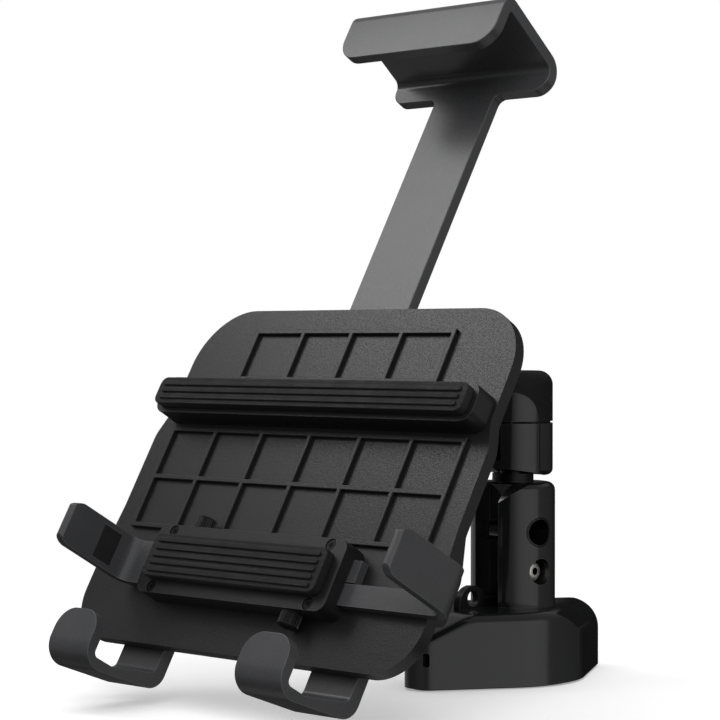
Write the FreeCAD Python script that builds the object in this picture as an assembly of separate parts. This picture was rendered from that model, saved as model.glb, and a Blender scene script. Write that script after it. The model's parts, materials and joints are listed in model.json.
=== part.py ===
import FreeCAD, Part
import math
import os

os.makedirs("parts", exist_ok=True)

# Millimetres, +Z up, -Y to the front, +X to the right as seen from the front.
# The origin is on the desk, under the post's axis.

# Tablet room: the glass leans back, and the middle of its lower edge is over this line
lean_degrees = 30.0
glass_foot_y = -174.4
glass_foot_z = 21.4
tablet_left = -62.7
tablet_right = 94.7
tablet_back = 7.0
tablet_end_up = -1.2

# Clearances
running_gap = 0.05
moving_gap = 0.3
screw_gap = 0.03
loose_gap = 0.2
snug_gap = 0.1
head_sunk = 0.2
plate_skin = 1.5
screw_tip_gap = 0.5

# How far a cut runs past a face, how long a through cut is, and what counts as nothing
cut_past = 1.0
through = 40.0
hair = 0.01

# Screw sockets: their share of the shank's radius, and of the head's height
socket_share = 0.85
small_socket_share = 0.67
socket_deep_share = 0.6

# Base
base_top = 28.0
base_skirt_bottom = 0.8
base_wall = 3.0
base_roof = 4.0
base_nose_y = -56.5
base_nose_half = 4.9
base_nose_round = 8.0
base_nose_top = 18.2
base_slope_y = -39.0
base_slope_round = 15.0
base_wide_y = -6.2
base_wide_half = 36.5
base_wide_round = 36.0
base_tail_y = 46.0
base_tail_half = 5.0
base_rear_round = 12.5
base_rim_round = 4.0
pad_top = 2.2
ballast_top = 20.0
ballast_front_y = -44.0
ballast_boss_radius = 6.0
desk_bolt_front_y = -34.0
desk_bolt_rear_y = 30.0
desk_bolt_radius = 2.5
desk_bolt_depth = 13.0
desk_bolt_pad_gap = 1.0
lock_slot_x = 5.4
lock_slot_z = 11.6
lock_slot_width = 2.0
lock_slot_height = 5.2
lock_slot_corner = 0.8
lock_plate_thick = 2.8
lock_plate_half = 8.0
lock_plate_low = 6.0
lock_plate_high = 17.0

# Post
post_radius = 16.3
post_height = 47.4
post_edge_round = 1.6
post_arch_start_y = -2.0
post_arch_radius = 15.5
post_slot_half = 5.8
post_slot_floor_y = -7.0
cable_hole_radius = 5.0
cable_bush_radius = 6.0
cable_hole_y = -2.4
cable_hole_drop = 18.8
cable_bush_inset = 0.1
lock_screw_y = -2.0
lock_screw_rise = 13.5
lock_screw_radius = 2.5
lock_screw_length = 20.0
lock_screw_head_radius = 4.2
lock_screw_head_length = 3.6
lock_screw_head_x = 13.0
lock_screw_socket = 2.3
lock_screw_pin_radius = 0.7
lock_screw_pin_sunk = 0.6
lock_screw_pocket_gap = 0.8
eye_half = 1.5
eye_centre_y = -24.5
eye_centre_rise = 1.0
eye_radius = 7.8
eye_hole_rise = 3.9
eye_hole_radius = 3.0
eye_tail_y = 2.6
eye_tail_over_screw = 4.2
post_bolt_x = 8.5
post_bolt_y = 6.5
post_bolt_radius = 2.5
post_bolt_head_radius = 4.5
post_bolt_head_z = 3.5
post_bolt_head_length = 5.0
post_bolt_grip = 9.0
post_bolt_socket = 2.3

# Neck
neck_spigot_radius = 6.0
neck_spigot_length = 11.8
neck_collar_radius = 8.0
neck_collar_height = 3.2
neck_journal_radius = 5.0
neck_thread_radius = 4.0
neck_thread_length = 4.0
neck_pin_radius = 1.4
neck_pin_drop = 7.2
neck_pin_half = 11.5
stop_pin_radius = 0.8
stop_pin_gap = 0.5
stop_pin_foot = 0.5
stop_pin_height = 2.0
swivel_washer_thick = 0.6
swivel_nut_thick = 2.8
swivel_nut_notch = 1.6
swivel_nut_notch_deep = 1.0

# Head
head_radius = 15.4
head_lift = 2.7
head_front_rise = 3.6
head_bottom_flat_y = 4.5
head_bottom_bevel_y = 9.0
head_rear_rise = 4.7
head_floor_thick = 5.8
head_gap = 0.3
head_upper_height = 20.0
head_top_round = 5.5
head_slot_half = 6.0
head_slot_rear_gap = 1.2
head_slot_top_y = -2.0
head_screw_x = 8.7
head_screw_y = 6.2
head_screw_radius = 1.9
head_screw_head_radius = 3.1
head_screw_head_length = 3.0
head_screw_seat_rise = 6.7
head_screw_grip = 7.5
head_screw_socket = 1.6
head_shim_inset = 0.9
arch_rear_y = -1.6
arch_radius = 11.9
arch_depth = 0.35
arch_lift = 0.1
tilt_pin_radius = 3.5
tilt_pin_half = 12.5
tilt_washer_inset = 1.3

# Tilting arm and its bracket, in the holder's frame: across, depth behind the glass, up the glass
knuckle_radius = 9.3
knuckle_half = 5.2
knuckle_nut_gap = 1.4
knuckle_room = 1.0
arm_thin_half = 6.4
arm_thick_half = 12.0
arm_foot_rise = 16.0
arm_foot_sunk = 3.0
arm_edge_round = 1.5
bracket_half = 28.0
bracket_housing_gap = 4.0
bracket_height = 36.0
bracket_thick = 8.5
bracket_round = 6.0
bracket_screw_inset = 6.0
bracket_screw_edge = 6.0
bracket_screw_radius = 2.0
bracket_screw_head_radius = 3.7
bracket_screw_head_length = 3.6
bracket_screw_sunk = 0.4

# Back plate
plate_front = 20.5
plate_thick = 6.0
plate_bottom = 13.0
plate_top = 150.0
plate_low_half = 86.0
plate_mid_half = 84.5
plate_high_half = 81.0
plate_chamfer = 1.2
plate_low_corner = 18.0
plate_top_corner = 24.0
plate_waist_rise = 33.0
plate_waist_height = 20.0
plate_waist_round = 30.0
plate_step_half = 5.0
plate_step_round = 12.0
swell_deep = 4.4
swell_low = 33.0
swell_height = 33.0
swell_width = 12.2
swell_edge = 0.3
swell_low_run = 3.0
swell_low_round = 2.5
swell_high_run = 14.0
swell_high_round = 8.0

# Hooks
hook_centre = 48.7
hook_half = 11.0
hook_front = -5.7
hook_thick = 4.2
hook_heel_up = -6.9
hook_rear_up = -0.4
hook_tip = 13.8
hook_leg_thick = 5.0
hook_leg_top = 54.0
hook_front_round = 8.0
hook_rear_round = 7.0
hook_corner = 8.0
hook_floor_gap = 0.2
hook_floor_end = 7.6
hook_inner_rear_up = 4.6
hook_inner_rear_round = 3.0
hook_inner_round = 2.0
hook_screw_ups = (24.0, 45.0)
hook_screw_radius = 2.0
hook_screw_head_radius = 3.7
hook_screw_head_length = 2.4
hook_pad_thick = 1.1
hook_pad_half = 8.5
hook_pad_rise = 2.0
hook_pad_margin = 1.6
pad_tip_round = 6.0
pad_root_round = 2.0

# Side arms
strip_low = 34.0
strip_high = 50.5
strip_split = 42.2
strip_split_gap = 0.5
strip_thick = 3.4
panel_thick = 3.5
panel_reach = -16.5
panel_corner = 6.0
panel_bend = 8.0
panel_inner_bend = 4.5
panel_edge_round = 1.2
panel_corner_past = 1.0
side_gap = 0.5
tail_length = 115.0
tail_shoulder = 8.0
side_pad_thick = 1.2
side_pad_sunk = 1.0
side_pad_front = -0.5
side_pad_back = 8.5
side_pad_margin = 2.0

# Guide for the side arms
guide_half = 48.0
guide_rim = 5.0
guide_front = 11.5
guide_round = 4.0
guide_screw_x = 40.0
guide_screw_edge = 2.4
guide_screw_radius = 1.8
guide_screw_head_radius = 2.2
guide_screw_head_length = 2.2
guide_screw_sunk = 0.3
guide_screw_grip = 2.5
clamp_screw_x = 30.0
clamp_screw_radius = 1.8
clamp_screw_forward = 0.8
clamp_screw_head_radius = 3.8
clamp_screw_head_length = 5.0
cushion_gap = 0.2
lower_cushion_half = 44.0
lower_cushion_inset = 5.0
cushion_round = 3.0

# Upper rest
rest_half = 80.0
rest_low = 101.0
rest_height = 15.0
rest_round = 5.0
rest_cushion_inset = 2.0
rest_screw_x = 60.0
rest_screw_radius = 1.8
rest_screw_head_radius = 3.2
rest_screw_head_length = 2.4
rest_screw_tip_gap = 0.6

# Top arm
rail_half = 15.0
rail_thick = 4.4
rail_low = 32.0
rail_round = 3.0
clip_half = 39.0
clip_front = -6.7
clip_thick = 4.4
clip_inner_up = 261.6
clip_apex_rise = 5.6
clip_rear_drop = 2.0
clip_inner_rear_drop = 5.6
clip_leg_length = 16.6
clip_neck_drop = 14.6
clip_corner = 9.0
clip_shoulder_round = 6.0
clip_front_round = 4.5
clip_rear_round = 8.0
clip_inner_rear_round = 3.4
clip_inner_round = 1.2
top_pad_half = 33.0
top_pad_thick = 1.2
top_pad_margin = 1.6
top_pad_root_gap = 1.0
notch_count = 11
notch_first_rise = 6.0
notch_pitch = 6.0
notch_deep = 1.6
notch_half = 2.2

# Lock on the top arm
housing_hook_gap = 0.5
housing_low = 30.0
housing_height = 38.0
housing_thick = 9.0
housing_round = 5.0
housing_edge_round = 1.5
housing_screw_right_edge = 5.2
housing_screw_left_edge = 4.4
housing_screw_rail_wall = 4.3
housing_screw_edge = 5.0
housing_screw_radius = 1.8
housing_screw_head_radius = 2.8
housing_screw_head_length = 2.3
lock_rise = 20.0
barrel_radius = 6.5
barrel_stand_out = 0.6
barrel_inside = 4.9
key_way_half = 0.6
key_way_length = 6.4
key_way_deep = 2.4
cam_radius = 6.0
cam_thick = 3.2
cam_reach = 9.0
cam_lobe_half = 3.6
cam_tip_round = 3.0
cam_rail_gap = 1.0
cam_room_gap = 1.6

plate_back = plate_front + plate_thick
hook_inner = hook_front + hook_thick
hook_back = plate_back + hook_leg_thick
hook_floor = tablet_end_up - hook_floor_gap
strip_back = plate_front - moving_gap
strip_front = strip_back - strip_thick
guide_low = strip_low - guide_rim
guide_high = strip_high + guide_rim
cushion_front = tablet_back + cushion_gap
bracket_back = plate_back + bracket_thick
rail_front = plate_back + moving_gap
rail_back = rail_front + rail_thick
clip_inner = clip_front + clip_thick
housing_back = plate_back + housing_thick
rest_high = rest_low + rest_height
rest_screw_up = (rest_low + rest_high) / 2
rest_screw_length = plate_back - rest_screw_head_length - guide_front - rest_screw_tip_gap
guide_screw_seat = guide_front + guide_screw_sunk + guide_screw_head_length
guide_screw_length = plate_front + guide_screw_grip - guide_screw_seat
clamp_screw_depth = strip_front - clamp_screw_forward

post_top = base_top + post_height
cable_hole_z = post_top - cable_hole_drop
lock_screw_z = base_top + lock_screw_rise
eye_centre_z = base_top + eye_centre_rise
eye_hole_z = base_top + eye_hole_rise
eye_tail_top = lock_screw_z + eye_tail_over_screw
neck_spigot_bottom = post_top - neck_spigot_length
neck_pin_z = post_top - neck_pin_drop
neck_collar_top = post_top + neck_collar_height
stop_pin_place = neck_journal_radius + stop_pin_radius + stop_pin_gap

head_bottom = post_top + head_lift
head_floor = head_bottom + head_floor_thick
swivel_nut_bottom = head_floor + moving_gap + swivel_washer_thick
head_split = swivel_nut_bottom + swivel_nut_thick + knuckle_nut_gap + knuckle_radius
head_top = head_split + head_upper_height
head_slot_rear_y = knuckle_radius + head_slot_rear_gap
head_screw_seat_z = head_bottom + head_screw_seat_rise
head_screw_length = head_split + head_screw_grip - head_screw_seat_z

housing_high = housing_low + housing_height
housing_right = hook_centre - hook_half - housing_hook_gap
housing_screw_right_x = housing_right - housing_screw_right_edge
housing_screw_left_x = -(rail_half + moving_gap + housing_screw_rail_wall)
housing_left = housing_screw_left_x - housing_screw_left_edge
lock_across = rail_half + cam_rail_gap + cam_reach
lock_up = housing_low + lock_rise
bracket_low = housing_high + bracket_housing_gap
bracket_high = bracket_low + bracket_height
bracket_screw_x = bracket_half - bracket_screw_inset
arm_foot_up = bracket_low + arm_foot_rise

clip_apex = clip_inner_up + clip_apex_rise
clip_rear_up = clip_inner_up - clip_rear_drop
clip_inner_rear_up = clip_inner_up - clip_inner_rear_drop
clip_tip = clip_inner_up - clip_leg_length
clip_neck_up = clip_inner_up - clip_neck_drop
notch_first_up = rail_low + notch_first_rise


def vec(x, y, z):
    return FreeCAD.Vector(x, y, z)


def box(x0, x1, y0, y1, z0, z1):
    return Part.makeBox(x1 - x0, y1 - y0, z1 - z0, vec(x0, y0, z0))


def rod(radius, start, axis, length):
    return Part.makeCylinder(radius, length, vec(*start), vec(*axis))


def corner_points(before, here, after, radius):
    """Start, middle and end of the arc that rounds a corner of a polygon."""
    ax, ay = before[0] - here[0], before[1] - here[1]
    bx, by = after[0] - here[0], after[1] - here[1]
    la = math.hypot(ax, ay)
    lb = math.hypot(bx, by)
    ax, ay, bx, by = ax / la, ay / la, bx / lb, by / lb
    half = math.acos(max(-1.0, min(1.0, ax * bx + ay * by))) / 2
    reach = radius / math.tan(half)
    mx, my = ax + bx, ay + by
    lm = math.hypot(mx, my)
    deep = radius / math.sin(half) - radius
    start = (here[0] + ax * reach, here[1] + ay * reach)
    middle = (here[0] + mx / lm * deep, here[1] + my / lm * deep)
    end = (here[0] + bx * reach, here[1] + by * reach)
    return start, middle, end


def rounded_face(points, place):
    """Face inside a polygon of (first, second, corner radius); place puts a pair in space."""
    edges = []
    runs = []
    for i, here in enumerate(points):
        if here[2] > 0:
            runs.append(corner_points(points[i - 1], here, points[(i + 1) % len(points)], here[2]))
        else:
            runs.append((here[:2], None, here[:2]))
    for i, (start, middle, end) in enumerate(runs):
        if middle is not None:
            edges.append(Part.Arc(place(*start), place(*middle), place(*end)).toShape())
        following = runs[(i + 1) % len(runs)][0]
        if math.hypot(following[0] - end[0], following[1] - end[1]) > 1e-6:
            edges.append(Part.makeLine(place(*end), place(*following)))
    return Part.Face(Part.Wire(edges))


def block_back(points, y0, y1):
    face = rounded_face(points, lambda x, z: vec(x, y0, z))
    return face.extrude(vec(0, y1 - y0, 0))


def block_across(points, x0, x1):
    face = rounded_face(points, lambda y, z: vec(x0, y, z))
    return face.extrude(vec(x1 - x0, 0, 0))


def rounded_rectangle(low_a, high_a, low_b, high_b, radius):
    return [(low_a, low_b, radius), (high_a, low_b, radius),
            (high_a, high_b, radius), (low_a, high_b, radius)]


def both_sides(points):
    """Outline from its right half, listed from one end to the other."""
    return points + [(-a, b, r) for a, b, r in reversed(points)]


def hexagon_rod(radius, start, axis, length):
    turn = FreeCAD.Rotation(vec(0, 0, 1), vec(*axis))
    corners = []
    for i in range(7):
        angle = math.pi / 3 * i
        corner = vec(radius * math.cos(angle), radius * math.sin(angle), 0)
        corners.append(turn.multVec(corner) + vec(*start))
    face = Part.Face(Part.makePolygon(corners))
    return face.extrude(vec(*axis) * length)


def socket_screw(head_radius, head_length, radius, length, socket, start, axis):
    """Screw whose head top is at start; axis points from the head down the shank."""
    head = rod(head_radius, start, axis, head_length)
    under = [s + a * head_length for s, a in zip(start, axis)]
    shank = rod(radius, under, axis, length)
    recess = hexagon_rod(socket, start, axis, head_length * socket_deep_share)
    return head.fuse(shank).removeSplitter().cut(recess)


def group(shapes):
    """Like fasteners as one node of separate solids."""
    return Part.makeCompound(shapes)


def lean(shape):
    """From the holder's own frame to the stand's frame."""
    shape.rotate(vec(0, 0, 0), vec(1, 0, 0), -lean_degrees)
    shape.translate(vec(0, glass_foot_y, glass_foot_z))
    return shape


def pivot_in_holder():
    angle = math.radians(lean_degrees)
    y = -glass_foot_y
    z = head_split - glass_foot_z
    depth = y * math.cos(angle) - z * math.sin(angle)
    up = y * math.sin(angle) + z * math.cos(angle)
    return depth, up


def mirror_across(shape):
    return shape.mirror(vec(0, 0, 0), vec(1, 0, 0))


def base_plan():
    return both_sides([(base_nose_half, base_nose_y, base_nose_round),
                       (base_wide_half, base_wide_y, base_wide_round),
                       (base_tail_half, base_tail_y, 0)])


def rear_block(distance, turn, roof, z0):
    """Block under the large rounding over a rear face that far from the post's axis."""
    far = 4 * base_wide_half
    top = base_top - roof
    side = [(-far, z0 - cut_past, 0), (-far, top, 0), (distance, top, base_rear_round - roof),
            (distance, z0 - cut_past, 0)]
    block = block_across(side, -far, far)
    block.rotate(vec(0, 0, 0), vec(0, 0, 1), turn)
    return block


def base_form(inset, roof, z0, rim=0.0):
    """The base's plan raised from z0 to its sloping top, drawn in by a wall and a roof."""
    face = rounded_face(base_plan(), lambda x, y: vec(x, y, z0))
    if inset > 0:
        face = face.makeOffset2D(-inset)
    front = base_nose_y + inset - cut_past
    back = base_tail_y + cut_past
    top = base_top - roof
    low = z0 - cut_past
    side = [(front, low, 0), (front, base_nose_top - roof, 0), (base_slope_y, top, base_slope_round),
            (back, top, 0), (back, low, 0)]
    walls = face.extrude(vec(0, 0, 2 * base_top))
    body = walls.common(block_across(side, -2 * base_wide_half, 2 * base_wide_half)).Solids[0]
    if rim > 0:
        body = body.makeFillet(rim, [e for e in body.Edges if runs_round_the_top(e)])
    across = base_wide_half - base_tail_half
    back = base_tail_y - base_wide_y
    slant = math.degrees(math.atan2(back, across))
    distance = (back * base_tail_half + across * base_tail_y) / math.hypot(across, back) - inset
    for away, turn in ((base_tail_y - inset, 0.0), (distance, slant), (distance, -slant)):
        body = body.common(rear_block(away, turn, roof, z0))
    return body.Solids[0]


def runs_round_the_top(edge):
    """The rim's edges: neither upright nor straight across the slope."""
    bounds = edge.BoundBox
    return bounds.ZMin > base_skirt_bottom + cut_past and bounds.YLength > hair


def lock_slot_cut(y0, y1):
    slot = rounded_rectangle(lock_slot_x - lock_slot_width / 2, lock_slot_x + lock_slot_width / 2,
                             lock_slot_z - lock_slot_height / 2, lock_slot_z + lock_slot_height / 2,
                             lock_slot_corner)
    return block_back(slot, y0, y1)


def base_shell():
    """Cast cover with the nose that slopes down under the tablet."""
    body = base_form(0.0, 0.0, base_skirt_bottom, base_rim_round)
    body = body.cut(base_form(base_wall, base_roof, base_skirt_bottom - cut_past))
    body = body.cut(lock_slot_cut(base_nose_y - cut_past, base_nose_y + 2 * base_wall))
    for x in (-post_bolt_x, post_bolt_x):
        hole = rod(post_bolt_radius + loose_gap, (x, post_bolt_y, ballast_top), (0, 0, 1), base_top)
        body = body.cut(hole)
    return body


def base_ballast():
    """Steel weight that fills the cover, with threaded holes for bolts up through a desk."""
    body = base_form(base_wall, base_roof, pad_top)
    room = box(-2 * base_wide_half, 2 * base_wide_half, ballast_front_y, 2 * base_tail_y, 0.0, ballast_top)
    body = body.common(room)
    for x in (-post_bolt_x, post_bolt_x):
        boss_length = base_top - base_roof - pad_top
        body = body.fuse(rod(ballast_boss_radius, (x, post_bolt_y, pad_top), (0, 0, 1), boss_length))
    body = body.removeSplitter()
    for x in (-post_bolt_x, post_bolt_x):
        body = body.cut(rod(post_bolt_radius + loose_gap, (x, post_bolt_y, 0.0), (0, 0, 1), base_top))
        seat = post_bolt_head_z + post_bolt_head_length
        body = body.cut(rod(post_bolt_head_radius + loose_gap, (x, post_bolt_y, 0.0), (0, 0, 1), seat))
    for y in (desk_bolt_front_y, desk_bolt_rear_y):
        body = body.cut(rod(desk_bolt_radius, (0.0, y, 0.0), (0, 0, 1), pad_top + desk_bolt_depth))
    return body


def foot_pad():
    """Rubber sheet under the whole base."""
    face = rounded_face(base_plan(), lambda x, y: vec(x, y, 0.0)).makeOffset2D(-base_wall - loose_gap)
    body = face.extrude(vec(0, 0, pad_top))
    for y in (desk_bolt_front_y, desk_bolt_rear_y):
        radius = desk_bolt_radius + desk_bolt_pad_gap
        body = body.cut(rod(radius, (0.0, y, -cut_past), (0, 0, 1), pad_top + 2 * cut_past))
    return body


def lock_plate():
    """Steel plate behind the lock slot; its own slot takes the lock's T bar."""
    inner_y = base_nose_y + base_wall
    body = box(-lock_plate_half, lock_plate_half, inner_y - cut_past, inner_y + lock_plate_thick,
               lock_plate_low, lock_plate_high)
    body = body.common(base_form(base_wall, base_roof, pad_top))
    return body.cut(lock_slot_cut(base_nose_y, inner_y + 2 * lock_plate_thick))


def post_bolt(x):
    length = base_top + post_bolt_grip - post_bolt_head_z - post_bolt_head_length
    return socket_screw(post_bolt_head_radius, post_bolt_head_length, post_bolt_radius, length,
                        post_bolt_socket, (x, post_bolt_y, post_bolt_head_z), (0, 0, 1))


def post_arch(body):
    """Rounds the front of the post's top down to the slot."""
    centre_z = post_top - post_arch_radius
    start = (-2 * post_radius, post_arch_start_y, centre_z)
    keep = rod(post_arch_radius, start, (1, 0, 0), 4 * post_radius)
    front = box(-2 * post_radius, 2 * post_radius, -2 * post_radius, post_arch_start_y,
                centre_z, post_top + cut_past)
    return body.cut(front.cut(keep))


def post():
    """Post with an arched top, a front slot for the eye plate and cross holes for cable and screw."""
    body = rod(post_radius, (0, 0, base_top), (0, 0, 1), post_height)
    top = [e for e in body.Edges if e.BoundBox.ZMin > post_top - snug_gap]
    body = post_arch(body.makeFillet(post_edge_round, top))
    body = body.cut(box(-post_slot_half, post_slot_half, -2 * post_radius, post_slot_floor_y,
                        base_top - cut_past, post_top + cut_past))
    slit = eye_half + loose_gap
    body = body.cut(box(-slit, slit, post_slot_floor_y - cut_past, eye_tail_y + loose_gap,
                        base_top - cut_past, eye_tail_top + loose_gap))
    across = (1, 0, 0)
    cable_start = (-2 * post_radius, cable_hole_y, cable_hole_z)
    body = body.cut(rod(cable_bush_radius, cable_start, across, 4 * post_radius))
    pocket_x = lock_screw_head_x - lock_screw_head_length
    pocket_radius = lock_screw_head_radius + lock_screw_pocket_gap
    body = body.cut(rod(pocket_radius, (pocket_x, lock_screw_y, lock_screw_z), across, post_radius))
    tip = (pocket_x - lock_screw_length - cut_past, lock_screw_y, lock_screw_z)
    body = body.cut(rod(lock_screw_radius + screw_gap, tip, across, 2 * post_radius))
    body = body.cut(rod(neck_spigot_radius, (0, 0, neck_spigot_bottom), (0, 0, 1), post_top))
    for x in (-post_bolt_x, post_bolt_x):
        hole = rod(post_bolt_radius + screw_gap, (x, post_bolt_y, base_top - cut_past), (0, 0, 1),
                   cut_past + post_bolt_grip + screw_tip_gap)
        body = body.cut(hole)
    hole_half = neck_pin_half + screw_tip_gap
    return body.cut(rod(neck_pin_radius, (-hole_half, 0.0, neck_pin_z), across, 2 * hole_half))


def cable_bush():
    """Steel tube that lines the cable hole through the post."""
    start = (-2 * post_radius, cable_hole_y, cable_hole_z)
    tube = rod(cable_bush_radius, start, (1, 0, 0), 4 * post_radius)
    tube = tube.common(rod(post_radius - cable_bush_inset, (0, 0, base_top), (0, 0, 1), post_height))
    tube = tube.cut(rod(cable_hole_radius, start, (1, 0, 0), 4 * post_radius))
    return tube.cut(box(-post_slot_half, post_slot_half, -2 * post_radius, post_slot_floor_y,
                        base_top, post_top))


def cable_eye():
    """Steel eye plate in the post's slot, held by the cross screw."""
    body = box(-eye_half, eye_half, eye_centre_y, post_slot_floor_y + cut_past, base_top, eye_hole_z)
    body = body.fuse(box(-eye_half, eye_half, post_slot_floor_y, eye_tail_y, base_top, eye_tail_top))
    across = (1, 0, 0)
    disc = rod(eye_radius, (-eye_half, eye_centre_y, eye_centre_z), across, 2 * eye_half)
    body = body.fuse(disc).removeSplitter()
    body = body.cut(box(-2 * eye_half, 2 * eye_half, eye_centre_y - 2 * eye_radius, 2 * eye_tail_y,
                        0.0, base_top))
    body = body.cut(rod(eye_hole_radius, (-2 * eye_half, eye_centre_y, eye_hole_z), across, 4 * eye_half))
    screw_start = (-2 * eye_half, lock_screw_y, lock_screw_z)
    return body.cut(rod(lock_screw_radius + loose_gap, screw_start, across, 4 * eye_half))


def lock_screw():
    """Bright socket screw with a pin in its socket."""
    body = socket_screw(lock_screw_head_radius, lock_screw_head_length, lock_screw_radius,
                        lock_screw_length, lock_screw_socket,
                        (lock_screw_head_x, lock_screw_y, lock_screw_z), (-1, 0, 0))
    pin_start = (lock_screw_head_x - lock_screw_head_length, lock_screw_y, lock_screw_z)
    pin_length = lock_screw_head_length - lock_screw_pin_sunk
    return body.fuse(rod(lock_screw_pin_radius, pin_start, (1, 0, 0), pin_length))


def neck():
    """Steel stem fixed in the post; the head turns on its upper journal."""
    up = (0, 0, 1)
    body = rod(neck_spigot_radius, (0, 0, neck_spigot_bottom), up, post_top - neck_spigot_bottom)
    body = body.fuse(rod(neck_collar_radius, (0, 0, post_top), up, neck_collar_height))
    journal_top = head_floor + moving_gap
    body = body.fuse(rod(neck_journal_radius, (0, 0, neck_collar_top), up, journal_top - neck_collar_top))
    body = body.fuse(rod(neck_thread_radius, (0, 0, journal_top), up, neck_thread_length))
    stop_pin_start = (0, stop_pin_place, post_top + stop_pin_foot)
    body = body.cut(rod(stop_pin_radius, stop_pin_start, up, neck_collar_height))
    across = (1, 0, 0)
    return body.cut(rod(neck_pin_radius, (-neck_pin_half, 0.0, neck_pin_z), across, 2 * neck_pin_half))


def neck_pin():
    radius = neck_pin_radius - screw_gap
    return rod(radius, (-neck_pin_half, 0.0, neck_pin_z), (1, 0, 0), 2 * neck_pin_half)


def stop_pin():
    """Pin on the collar that runs in the head's half-round groove and ends its swivel."""
    start = post_top + stop_pin_foot
    return rod(stop_pin_radius - screw_gap, (0, stop_pin_place, start), (0, 0, 1),
               neck_collar_top + stop_pin_height - start)


def swivel_washer():
    bottom = head_floor + moving_gap
    body = rod(head_slot_half - moving_gap, (0, 0, bottom), (0, 0, 1), swivel_washer_thick)
    return body.cut(rod(neck_thread_radius, (0, 0, bottom - cut_past), (0, 0, 1), 2 * neck_thread_length))


def swivel_nut():
    bottom = swivel_nut_bottom
    top = bottom + swivel_nut_thick
    body = rod(head_slot_half - moving_gap, (0, 0, bottom), (0, 0, 1), swivel_nut_thick)
    for angle in (0.0, 90.0):
        half = swivel_nut_notch / 2
        notch = box(-head_slot_half, head_slot_half, -half, half, top - swivel_nut_notch_deep, head_split)
        notch.rotate(vec(0, 0, 0), vec(0, 0, 1), angle)
        body = body.cut(notch)
    return body.cut(rod(neck_thread_radius, (0, 0, bottom - cut_past), (0, 0, 1), 2 * neck_thread_length))


def arch_recess():
    """Shallow step that marks the arched front part of the head's sides."""
    up = (0, 0, 1)
    low = head_bottom - cut_past
    ring = rod(head_radius + cut_past, (0, 0, low), up, head_top - low)
    ring = ring.cut(rod(head_radius - arch_depth, (0, 0, low - cut_past), up, head_top))
    rise = head_split + arch_radius + arch_lift
    arch = [(-2 * head_radius, low - cut_past, 0), (arch_rear_y, low - cut_past, 0),
            (arch_rear_y, rise, arch_radius), (-2 * head_radius, rise, 0)]
    return ring.common(block_across(arch, -2 * head_radius, 2 * head_radius))


def stop_groove():
    """Half ring in the head's underside for the stop pin."""
    height = stop_pin_height + moving_gap
    outer = stop_pin_place + stop_pin_radius + moving_gap
    groove = rod(outer, (0, 0, neck_collar_top), (0, 0, 1), height)
    low = neck_collar_top - cut_past
    groove = groove.cut(rod(neck_journal_radius, (0, 0, low), (0, 0, 1), height + 2 * cut_past))
    rear = box(-outer, outer, -stop_pin_radius - moving_gap, outer, low, head_floor)
    return groove.common(rear)


def head_lower():
    """Lower half of the swivel head: turns on the neck and carries the tilt pin."""
    up = (0, 0, 1)
    body = rod(head_radius, (0, 0, head_bottom - cut_past), up, head_split - head_bottom + cut_past)
    reach = 1.2 * head_radius
    side = [(-reach, head_bottom + head_front_rise, 0), (head_bottom_flat_y, head_bottom, 0),
            (head_bottom_bevel_y, head_bottom, 0), (reach, head_bottom + head_rear_rise, 0),
            (reach, head_top, 0), (-reach, head_top, 0)]
    body = body.common(block_across(side, -2 * head_radius, 2 * head_radius))
    body = body.cut(arch_recess())
    body = body.cut(box(-head_slot_half, head_slot_half, -2 * head_radius, head_slot_rear_y,
                        head_floor, head_top))
    body = body.cut(rod(neck_journal_radius + running_gap, (0, 0, post_top), up, head_radius))
    collar_room = neck_collar_top + moving_gap - post_top
    body = body.cut(rod(neck_collar_radius + moving_gap, (0, 0, post_top), up, collar_room))
    body = body.cut(stop_groove())
    body = body.cut(rod(tilt_pin_radius, (-tilt_pin_half, 0, head_split), (1, 0, 0), 2 * tilt_pin_half))
    for x in (-head_screw_x, head_screw_x):
        place = (x, head_screw_y, post_top)
        body = body.cut(rod(head_screw_head_radius + snug_gap, place, up, head_screw_seat_z - post_top))
        body = body.cut(rod(head_screw_radius + loose_gap, place, up, head_top))
    return body


def head_upper():
    """Upper half of the head, a clamp over the tilt pin."""
    bottom = head_split + head_gap
    body = rod(head_radius, (0, 0, bottom), (0, 0, 1), head_top - bottom)
    top = [e for e in body.Edges if e.BoundBox.ZMin > head_top - snug_gap]
    body = body.makeFillet(head_top_round, top)
    body = body.cut(arch_recess())
    body = body.cut(box(-head_slot_half, head_slot_half, -2 * head_radius, head_slot_top_y,
                        head_floor, head_top + cut_past))
    across = (1, 0, 0)
    knuckle = rod(knuckle_radius + knuckle_room, (-head_slot_half, 0, head_split), across, 2 * head_slot_half)
    body = body.cut(knuckle)
    body = body.cut(rod(tilt_pin_radius, (-tilt_pin_half, 0, head_split), across, 2 * tilt_pin_half))
    depth = head_screw_grip + screw_tip_gap
    for x in (-head_screw_x, head_screw_x):
        body = body.cut(rod(head_screw_radius + screw_gap, (x, head_screw_y, head_split), (0, 0, 1), depth))
    return body


def head_shim():
    """Thin gasket between the two halves of the head, drawn back from their edge."""
    body = rod(head_radius - head_shim_inset, (0, 0, head_split), (0, 0, 1), head_gap)
    body = body.cut(box(-head_slot_half, head_slot_half, -2 * head_radius, head_slot_rear_y,
                        head_floor, head_top))
    for x in (-head_screw_x, head_screw_x):
        hole = rod(head_screw_radius + loose_gap, (x, head_screw_y, head_floor), (0, 0, 1), head_top)
        body = body.cut(hole)
    rear = box(-2 * head_radius, 2 * head_radius, tilt_pin_radius + snug_gap, 2 * head_radius,
               head_floor, head_top)
    return body.common(rear)


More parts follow.
